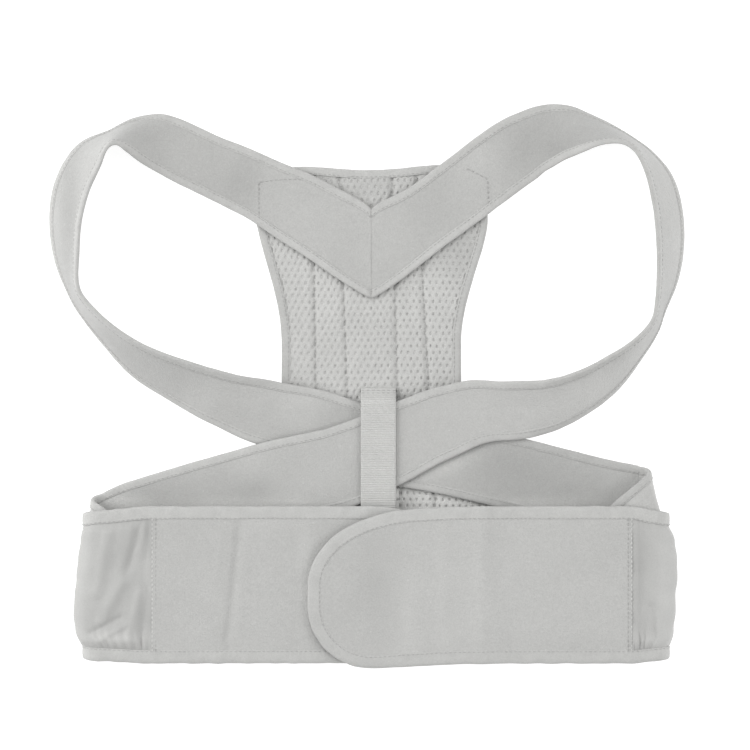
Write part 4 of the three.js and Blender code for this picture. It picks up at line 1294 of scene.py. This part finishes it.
def belt_columns(seam_x, end_x, inset, straight, rounded):
    """x, and the upper and lower edge's distance from the belt's middle line"""
    direction = np.sign(end_x - seam_x)
    half = BELT_HEIGHT / 2
    reach = abs(end_x - seam_x) - inset
    bend = TAB_TOP_ROUNDING_LENGTH - inset
    round_end = bend * (1 - np.sin(np.linspace(0, math.pi / 2, rounded)[1:]))
    distance = np.concatenate([np.linspace(reach, bend, straight), round_end])

    def arc(length, depth):
        past = np.clip((length - inset - distance) / (length - inset), 0, 1)
        return half - depth + (depth - inset) * np.sqrt(1 - past**2)

    x = end_x - direction * (inset + distance)
    upper = arc(TAB_TOP_ROUNDING_LENGTH, TAB_TOP_ROUNDING_DEPTH)
    lower = arc(TAB_BOTTOM_ROUNDING, TAB_BOTTOM_ROUNDING)
    return x, upper, lower


# Soft waves and creases in the front panels: how far they lean from upright, and for each its height, where
# it crosses the belt's middle and its half width. The ridge lies over the left panel's hidden end.
LEFT_CREASE_LEAN = 0.106
LEFT_CREASES = [(-0.85, -98.0, 2.6), (0.35, -91.0, 5.0)]
RIGHT_WAVE_LEAN = -0.05
RIGHT_WAVES = [(0.9, 72.0, 20.0), (-0.8, 12.0, 20.0), (-0.3, 44.0, 6.0)]
RIGHT_RIDGE = [(0.5, LEFT_PANEL_END_X + 4, 4.0), (-0.3, LEFT_PANEL_END_X + 15, 6.0)]


def belt_relief(side, x, y):
    """The waves and creases of a front panel, in millimetres"""

    def heights(rows, place):
        return sum(height * bump_at(place, middle, spread) for height, middle, spread in rows)

    down = y - BELT_MIDDLE_Y
    if side == "left":
        return heights(LEFT_CREASES, x - LEFT_CREASE_LEAN * down) + 0.3 * np.sin(x / 19.0 + y / 60.0)
    return heights(RIGHT_WAVES, x - RIGHT_WAVE_LEAN * down) + heights(RIGHT_RIDGE, x)


# Over what share of its height a front panel's waves fade out at its tapes, and over what length at its end;
# then how much thinner its cloth is at the edges and thicker in the middle
WAVE_FADE_SHARE = 0.12
WAVE_FADE_LENGTH = 14
FRONT_EDGE_THINNER = 0.3
FRONT_CROWN = 0.4


def belt_panel(side):
    """The cloth of a front panel, from its seam to its rounded or hidden end"""
    seam_x, end_x, _, height, droop = BELT_PANELS[side]
    x, up, down = belt_columns(seam_x, end_x, BELT_BINDING_WIDTH - FRONT_UNDER_TAPE, 90, 40)
    t = np.linspace(0, 1, 41)
    y = BELT_MIDDLE_Y - droop(x)[:, None] - down[:, None] + (up + down)[:, None] * t[None, :]
    xs = np.broadcast_to(x[:, None], y.shape)
    from_tapes = smooth(np.minimum(t, 1 - t) / WAVE_FADE_SHARE)
    edge = from_tapes[None, :] * smooth(np.abs(xs - end_x) / WAVE_FADE_LENGTH)
    z = height(xs) + belt_relief(side, xs, y) * edge
    grid = np.stack([xs, y, z], -1)[::-1]
    if side == "left":
        grid = grid[:, ::-1]
    thickness = BELT_PANEL_THICKNESS - FRONT_EDGE_THINNER + FRONT_CROWN * edge[::-1]
    return slab(f"belt_front_{side}", grid, thickness, FINISH["loop"], grid[..., :2])


def fold_line(side, v):
    """The x of a side fold at a share of the way down"""
    nominal = LEFT_FOLD_X if side == "left" else RIGHT_FOLD_X
    values = np.array(FOLD_BULGE[side])
    place = np.clip(v, 0, 1) * (len(values) - 1)
    i = np.minimum(len(values) - 2, np.floor(place).astype(int))
    bulge = values[i] + (values[i + 1] - values[i]) * smooth(place - i)
    return nominal + BELT_PANELS[side][2] * bulge * BELT_LOFT


def side_path(side, v, front=40, turn=18, back=30):
    """Points round a belt side from the seam to the back panel: the way along, x, z and the edges' pull"""
    seam_x, _, direction, _, _ = BELT_PANELS[side]
    fold = fold_line(side, v)
    radius = (FRONT_MID - BACK_MID) / 2
    wing_end = direction * (PANEL_FOOT_WIDTH / 2 + GAP)
    turning, returning = np.linspace(0, 1, turn)[1:], np.linspace(0, 1, back)[1:]
    us = np.concatenate([np.linspace(0, 1, front), 1 + turning, 2 + returning])
    x, z, pull = np.empty_like(us), np.empty_like(us), np.empty_like(us)
    inner = fold - direction * radius
    for i, u in enumerate(us):
        if u <= 1:
            x[i], z[i], pull[i] = seam_x + (inner - seam_x) * u, FRONT_MID, smooth(u)
        elif u <= 2:
            t = (u - 1) * math.pi
            x[i], z[i] = inner + direction * radius * math.sin(t), BACK_MID + radius * (1 + math.cos(t))
            pull[i] = 1 + FOLD_EDGE_PULL / EDGE_PULL * math.sin(t)
        else:
            x[i], z[i], pull[i] = inner + (wing_end - inner) * (u - 2), BACK_MID, 1 - smooth(u - 2)
    return us, x, z, pull


# Folds in the side cloth: from and to, as shares of the way from the seam to the fold and down from the top,
# then the height and the half width as shares of BELT_LOFT. A height below zero is a valley.
SIDE_FOLDS = {
    "left": [
        (0.2, 0.02, 0.42, 0.42, -0.07, 0.17),
        (0.62, 0.3, 0.8, 0.6, -0.035, 0.24),
        (0.42, 0.42, 0.8, 0.78, 0.055, 0.2),
        (0.5, 0.74, 0.98, 0.86, -0.05, 0.09),
        (0.42, 0.8, 0.92, 0.93, 0.04, 0.08),
        (0.06, 0.52, 0.2, 0.98, -0.09, 0.14),
        (0.2, 0.56, 0.38, 0.9, 0.04, 0.14),
        (0.04, 0.05, 0.1, 0.3, -0.06, 0.1),
        (0.78, 0.1, 0.9, 0.55, 0.05, 0.24),
    ],
    "right": [
        (0.26, 0.02, 0.32, 0.66, -0.05, 0.28),
        (0.05, 0.72, 0.42, 0.98, -0.045, 0.11),
        (0.66, 0.15, 0.72, 0.6, 0.04, 0.3),
        (0.46, 0.7, 0.76, 0.97, 0.05, 0.14),
        (0.68, 0.66, 0.94, 0.92, -0.03, 0.13),
    ],
}


def fold_relief(side, u, v, reach):
    """The folds' height where the cloth lies reach wide"""
    total = np.zeros(np.broadcast(u, v).shape)
    for from_u, from_v, to_u, to_v, height, spread in SIDE_FOLDS[side]:
        line = np.array([(to_u - from_u) * reach, (to_v - from_v) * BELT_HEIGHT])
        du, dv = (u - from_u) * reach, (v - from_v) * BELT_HEIGHT
        along = np.clip((du * line[0] + dv * line[1]) / (line @ line), 0, 1)
        away = np.hypot(du - along * line[0], dv - along * line[1]) / (spread * BELT_LOFT)
        total = total + height * BELT_LOFT * np.exp(-away * away)
    return total


# How many rows the side cloth has, how long its way behind the fold counts for the gathers, the gathers'
# pitch, the longer one over which it wanders, and their height at the top and at the foot
SIDE_ROWS = 81
BEHIND_LENGTH = 32
GATHER_PITCH = 1.1
GATHER_WANDER = 9.0
TOP_GATHER = 0.4
FOOT_GATHER = 1.7


def side_panel(side):
    """Puckered stretch cloth: long folds from the seam down to the fold, and gathers along both hems"""
    seam_x = BELT_PANELS[side][0]
    inset = BELT_BINDING_WIDTH - SIDE_UNDER_TAPE
    vs = np.linspace(0, 1, SIDE_ROWS)
    grid = []
    for v in vs:
        us, x, z, pull = side_path(side, v)
        top = BELT_TOP_Y - EDGE_PULL * pull - inset
        bottom = BELT_BOTTOM_Y + EDGE_PULL * 0.5 * pull + inset
        grid.append(np.stack([x, top + (bottom - top) * v, z], -1))
    grid = np.array(grid)
    u, v = np.broadcast_arrays(us[None, :], vs[:, None])
    reach = abs(float(fold_line(side, 0.5)) - seam_x)
    hem = smooth(np.minimum(v, 1 - v) / 0.09)
    front = smooth(u / 0.22) * (1 - smooth((u - 1) / 0.7))
    relief = (0.1 * BELT_LOFT + fold_relief(side, u, v, reach)) * front * hem
    travel = np.where(u <= 1, u * reach, reach + (u - 1) * BEHIND_LENGTH)
    gather = 0.5 * (1 + np.sin(travel / GATHER_PITCH + 2.2 * np.sin(travel / GATHER_WANDER)))
    from_top, from_foot = v * BELT_HEIGHT, (1 - v) * BELT_HEIGHT
    near = np.exp(-(from_top / 9.0)) * TOP_GATHER + np.exp(-(from_foot / 11.0)) * FOOT_GATHER
    pucker = gather * near * smooth(np.minimum(v, 1 - v) / 0.04) * np.where(u <= 2, smooth(u / 0.12), 1)
    fine = 0.2 * ripple(grid, 12.0, 91) * hem
    relief = relief + 0.75 * np.exp(-u * reach / 4.0)
    normals = grid_normals(grid)
    outward = np.sign(normals[5, 3, 2])
    grid = grid + normals * outward * (relief + pucker + fine)[..., None]
    uv = as_points(distances_along(grid[len(vs) // 2])[None, :], v * BELT_HEIGHT)
    return slab(f"side_cloth_{side}", grid, 1.1, FINISH["stretch"], uv)


def belt_tape(side, stitches):
    """The tape round one half of the belt: along the top, round the front panel's end, back along the foot"""
    seam_x, end_x, direction, height, droop = BELT_PANELS[side]

    def strip(edge):
        v = 0.0 if edge > 0 else 1.0
        _, x, z, pull = side_path(side, v)
        pulled = EDGE_PULL * pull * (1 if edge > 0 else 0.5)
        y = BELT_MIDDLE_Y + edge * (BELT_HEIGHT / 2 - pulled)
        points = np.stack([x, y, z], -1)[1:]
        inward = np.broadcast_to([0.0, -edge, 0.0], points.shape)
        return points, inward

    straight, rounded = 70, 30
    x, up, down = belt_columns(seam_x, end_x, 0.0, straight, rounded)
    inner_x, inner_up, inner_down = belt_columns(seam_x, end_x, BELT_BINDING_WIDTH, straight, rounded)
    inner_x[:straight] = x[:straight]
    middle, z = BELT_MIDDLE_Y - droop(x), height(x)
    upper = np.stack([x, middle + up, z], -1)
    lower = np.stack([x, middle - down, z], -1)
    upper_in = unit(np.stack([inner_x, middle + inner_up, z], -1) - upper)
    lower_in = unit(np.stack([inner_x, middle - inner_down, z], -1) - lower)
    top_strip, top_in = strip(1)
    low_strip, low_in = strip(-1)
    edge = np.vstack([top_strip[::-1], upper, lower[::-1], low_strip])
    inward = np.vstack([top_in[::-1], upper_in, lower_in[::-1], low_in])
    inward = unit(soften(inward, 4))
    along = np.gradient(edge, axis=0)
    normal = unit(np.cross(along, inward))
    flip = np.sign(normal[len(top_strip) + 5, 2])
    normal = normal * flip
    size = (BELT_BINDING_WIDTH, BELT_BINDING_THICKNESS)
    made = tape(f"belt_tape_{side}", edge, inward, normal, *size, FINISH["tape"], 51 + direction)
    sewn = edge + inward * (BELT_BINDING_WIDTH * BELT_SEWN)
    sew_both_faces(stitches, sewn, normal, BELT_BINDING_THICKNESS / 2 * BELT_SEWN_HEIGHT + STITCH_LIFT)
    return made


def seam_stitches(side, stitches, edge_stitches):
    """The upright seam between a front panel and its side cloth: a row on the panel, and one over its edge"""
    seam_x, _, direction, height, _ = BELT_PANELS[side]
    ys = np.linspace(BELT_TOP_Y - BELT_BINDING_WIDTH, BELT_BOTTOM_Y + BELT_BINDING_WIDTH, 60)
    for inset, lift, row in ((2.6, 0.1, stitches), (0.1, 0.2, edge_stitches)):
        x = seam_x - direction * inset
        z = float(height(x)) + BELT_PANEL_THICKNESS / 2 + lift
        row.add(as_points(x, ys, z), UP)


# How far the hook patch keeps from both panels' ends, and from the tapes above and below it
HOOKS_FROM_END = 26
HOOKS_FROM_TAPE = 14


def hook_patch():
    """The patch between the two front panels where they lap"""
    half = BELT_HEIGHT / 2 - BELT_BINDING_WIDTH - HOOKS_FROM_TAPE
    xs = np.linspace(RIGHT_PANEL_END_X + HOOKS_FROM_END, LEFT_PANEL_END_X - HOOKS_FROM_END, 30)
    ys = BELT_MIDDLE_Y + np.linspace(-half, half, 12)
    zs = left_panel_z(xs) + ((BELT_PANEL_THICKNESS + HOOK_PATCH_THICKNESS) / 2 + GAP)
    grid = as_points(xs[:, None], ys[None, :], zs[:, None])
    return slab("hook_strip", grid, HOOK_PATCH_THICKNESS - 0.1, FINISH["hooks"], grid[..., :2])


# The object put together


def ride(piece, node_names):
    """Puts a piece on the body, in place of the CAD nodes that it stands for"""
    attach(piece, "root")
    if node_names:
        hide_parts(*node_names)


strap_sewing, panel_sewing, belt_sewing = Stitches(), Stitches(), Stitches()
channel_sewing, seam_sewing = Stitches(), Stitches()

pad = panel_pad()
ride(pad, ["back_panel"])
mesh_face = open_mesh()
# Shade and light painted into the mesh's colour in places
lay_painted_shade(mesh_face)
ride(mesh_face, [])
ride(panel_tape(panel_sewing), ["back_panel_binding"])
channel_stitches(channel_sewing)

for side in ("left", "right"):
    strap, bindings = shoulder_strap(side, strap_sewing)
    # Shade and light painted into the colour of the strap, some of its tapes, the front panel and the side
    # cloth
    lay_painted_shade(strap)
    for binding in bindings:
        if binding.name in PAINTED_SHADE:
            lay_painted_shade(binding)
    ride(strap, [f"shoulder_strap_{side}"])
    ride(bindings[0], [f"strap_binding_{side}_inner"])
    ride(bindings[1], [f"strap_binding_{side}_outer"])
    lay_sheet(strap)
    front = belt_panel(side)
    lay_painted_shade(front)
    ride(front, [f"belt_panel_{side}"])
    cloth = side_panel(side)
    lay_painted_shade(cloth)
    ride(cloth, [f"side_panel_{side}"])
    hem = belt_tape(side, belt_sewing)
    ride(hem, [f"belt_binding_{side}"])
    lay_sheet(cloth)
    seam_stitches(side, belt_sewing, seam_sewing)
    yoke_stitches(strap, side, strap_sewing)

keeper = webbing_keeper(panel_sewing)
ride(keeper, ["webbing_keeper"])
lay_sheet(keeper)
ride(hook_patch(), ["hook_patch"])

sewn_line = stitch_tree()
ride(sew("strap_stitches", strap_sewing, sewn_line), [])
ride(sew("panel_stitches", panel_sewing, sewn_line), [])
ride(sew("belt_stitches", belt_sewing, sewn_line), [])
channel_rows = sew(
    "channel_stitches", channel_sewing, sewn_line, length=3.2, pitch=4.3, radius=0.34, thread="channel_thread"
)
ride(channel_rows, [])
ride(sew("seam_stitches", seam_sewing, sewn_line, thread="seam_thread"), [])


# Stage, lights and camera


def pale_floor():
    """The pale surface that the object lies on"""
    size = 6000.0
    corners = [(-size, -size, 0), (size, -size, 0), (size, size, 0), (-size, size, 0)]
    material, _, _, shader = new_material("pale_floor", (0.4, 0.4, 0.4), roughness=0.9)
    shader.inputs["Emission Color"].default_value = (1, 1, 1, 1)
    shader.inputs["Emission Strength"].default_value = 0.82
    floor = mesh_object("floor", corners, [(0, 1, 2, 3)], finish=material)


# The square lamps, all turned to the object: where each stands, its side in metres and its power
LAMPS = {
    "left_box": ((-1.7, 0.2, 0.9), 1.3, 30),
    "right_box": ((1.7, -0.1, 0.9), 1.3, 20),
    "top_box": ((-0.3, 1.2, 1.9), 1.2, 16),
}


def soft_light(name, location, size, power):
    """A lamp turned to the object and unseen by the camera"""
    data = bpy.data.lights.new(name, "AREA")
    data.shape = "SQUARE"
    data.size = size
    data.energy = power
    light = bpy.data.objects.new(name, data)
    light.location = location
    light.rotation_mode = "QUATERNION"
    light.rotation_quaternion = (-Vector(location)).to_track_quat("-Z", "Y")
    light.visible_camera = False
    bpy.context.scene.collection.objects.link(light)


def studio():
    """An even pale room with three large soft lamps"""
    world = bpy.data.worlds.new("studio")
    bpy.context.scene.world = world
    world.use_nodes = True
    background = world.node_tree.nodes["Background"]
    background.inputs["Color"].default_value = (1, 1, 1, 1)
    background.inputs["Strength"].default_value = 0.62
    for name, (location, size, power) in LAMPS.items():
        soft_light(name, location, size, power)
    bpy.context.scene.view_settings.view_transform = "Standard"


# The photograph's width in pixels, one pixel at the object, the point at its middle and the camera's height
PHOTO_WIDTH = 750
PIXEL = 0.000714
PHOTO_MIDDLE = (0.0026, 0.0252)
CAMERA_HEIGHT = 2.2


def look_down():
    """The camera, straight above"""
    data = bpy.data.cameras.new("camera")
    data.sensor_width = 36
    data.lens = data.sensor_width * CAMERA_HEIGHT / (PHOTO_WIDTH * PIXEL)
    camera = bpy.data.objects.new("camera", data)
    camera.location = (*PHOTO_MIDDLE, CAMERA_HEIGHT)
    bpy.context.scene.collection.objects.link(camera)
    bpy.context.scene.camera = camera


pale_floor()
studio()
look_down()
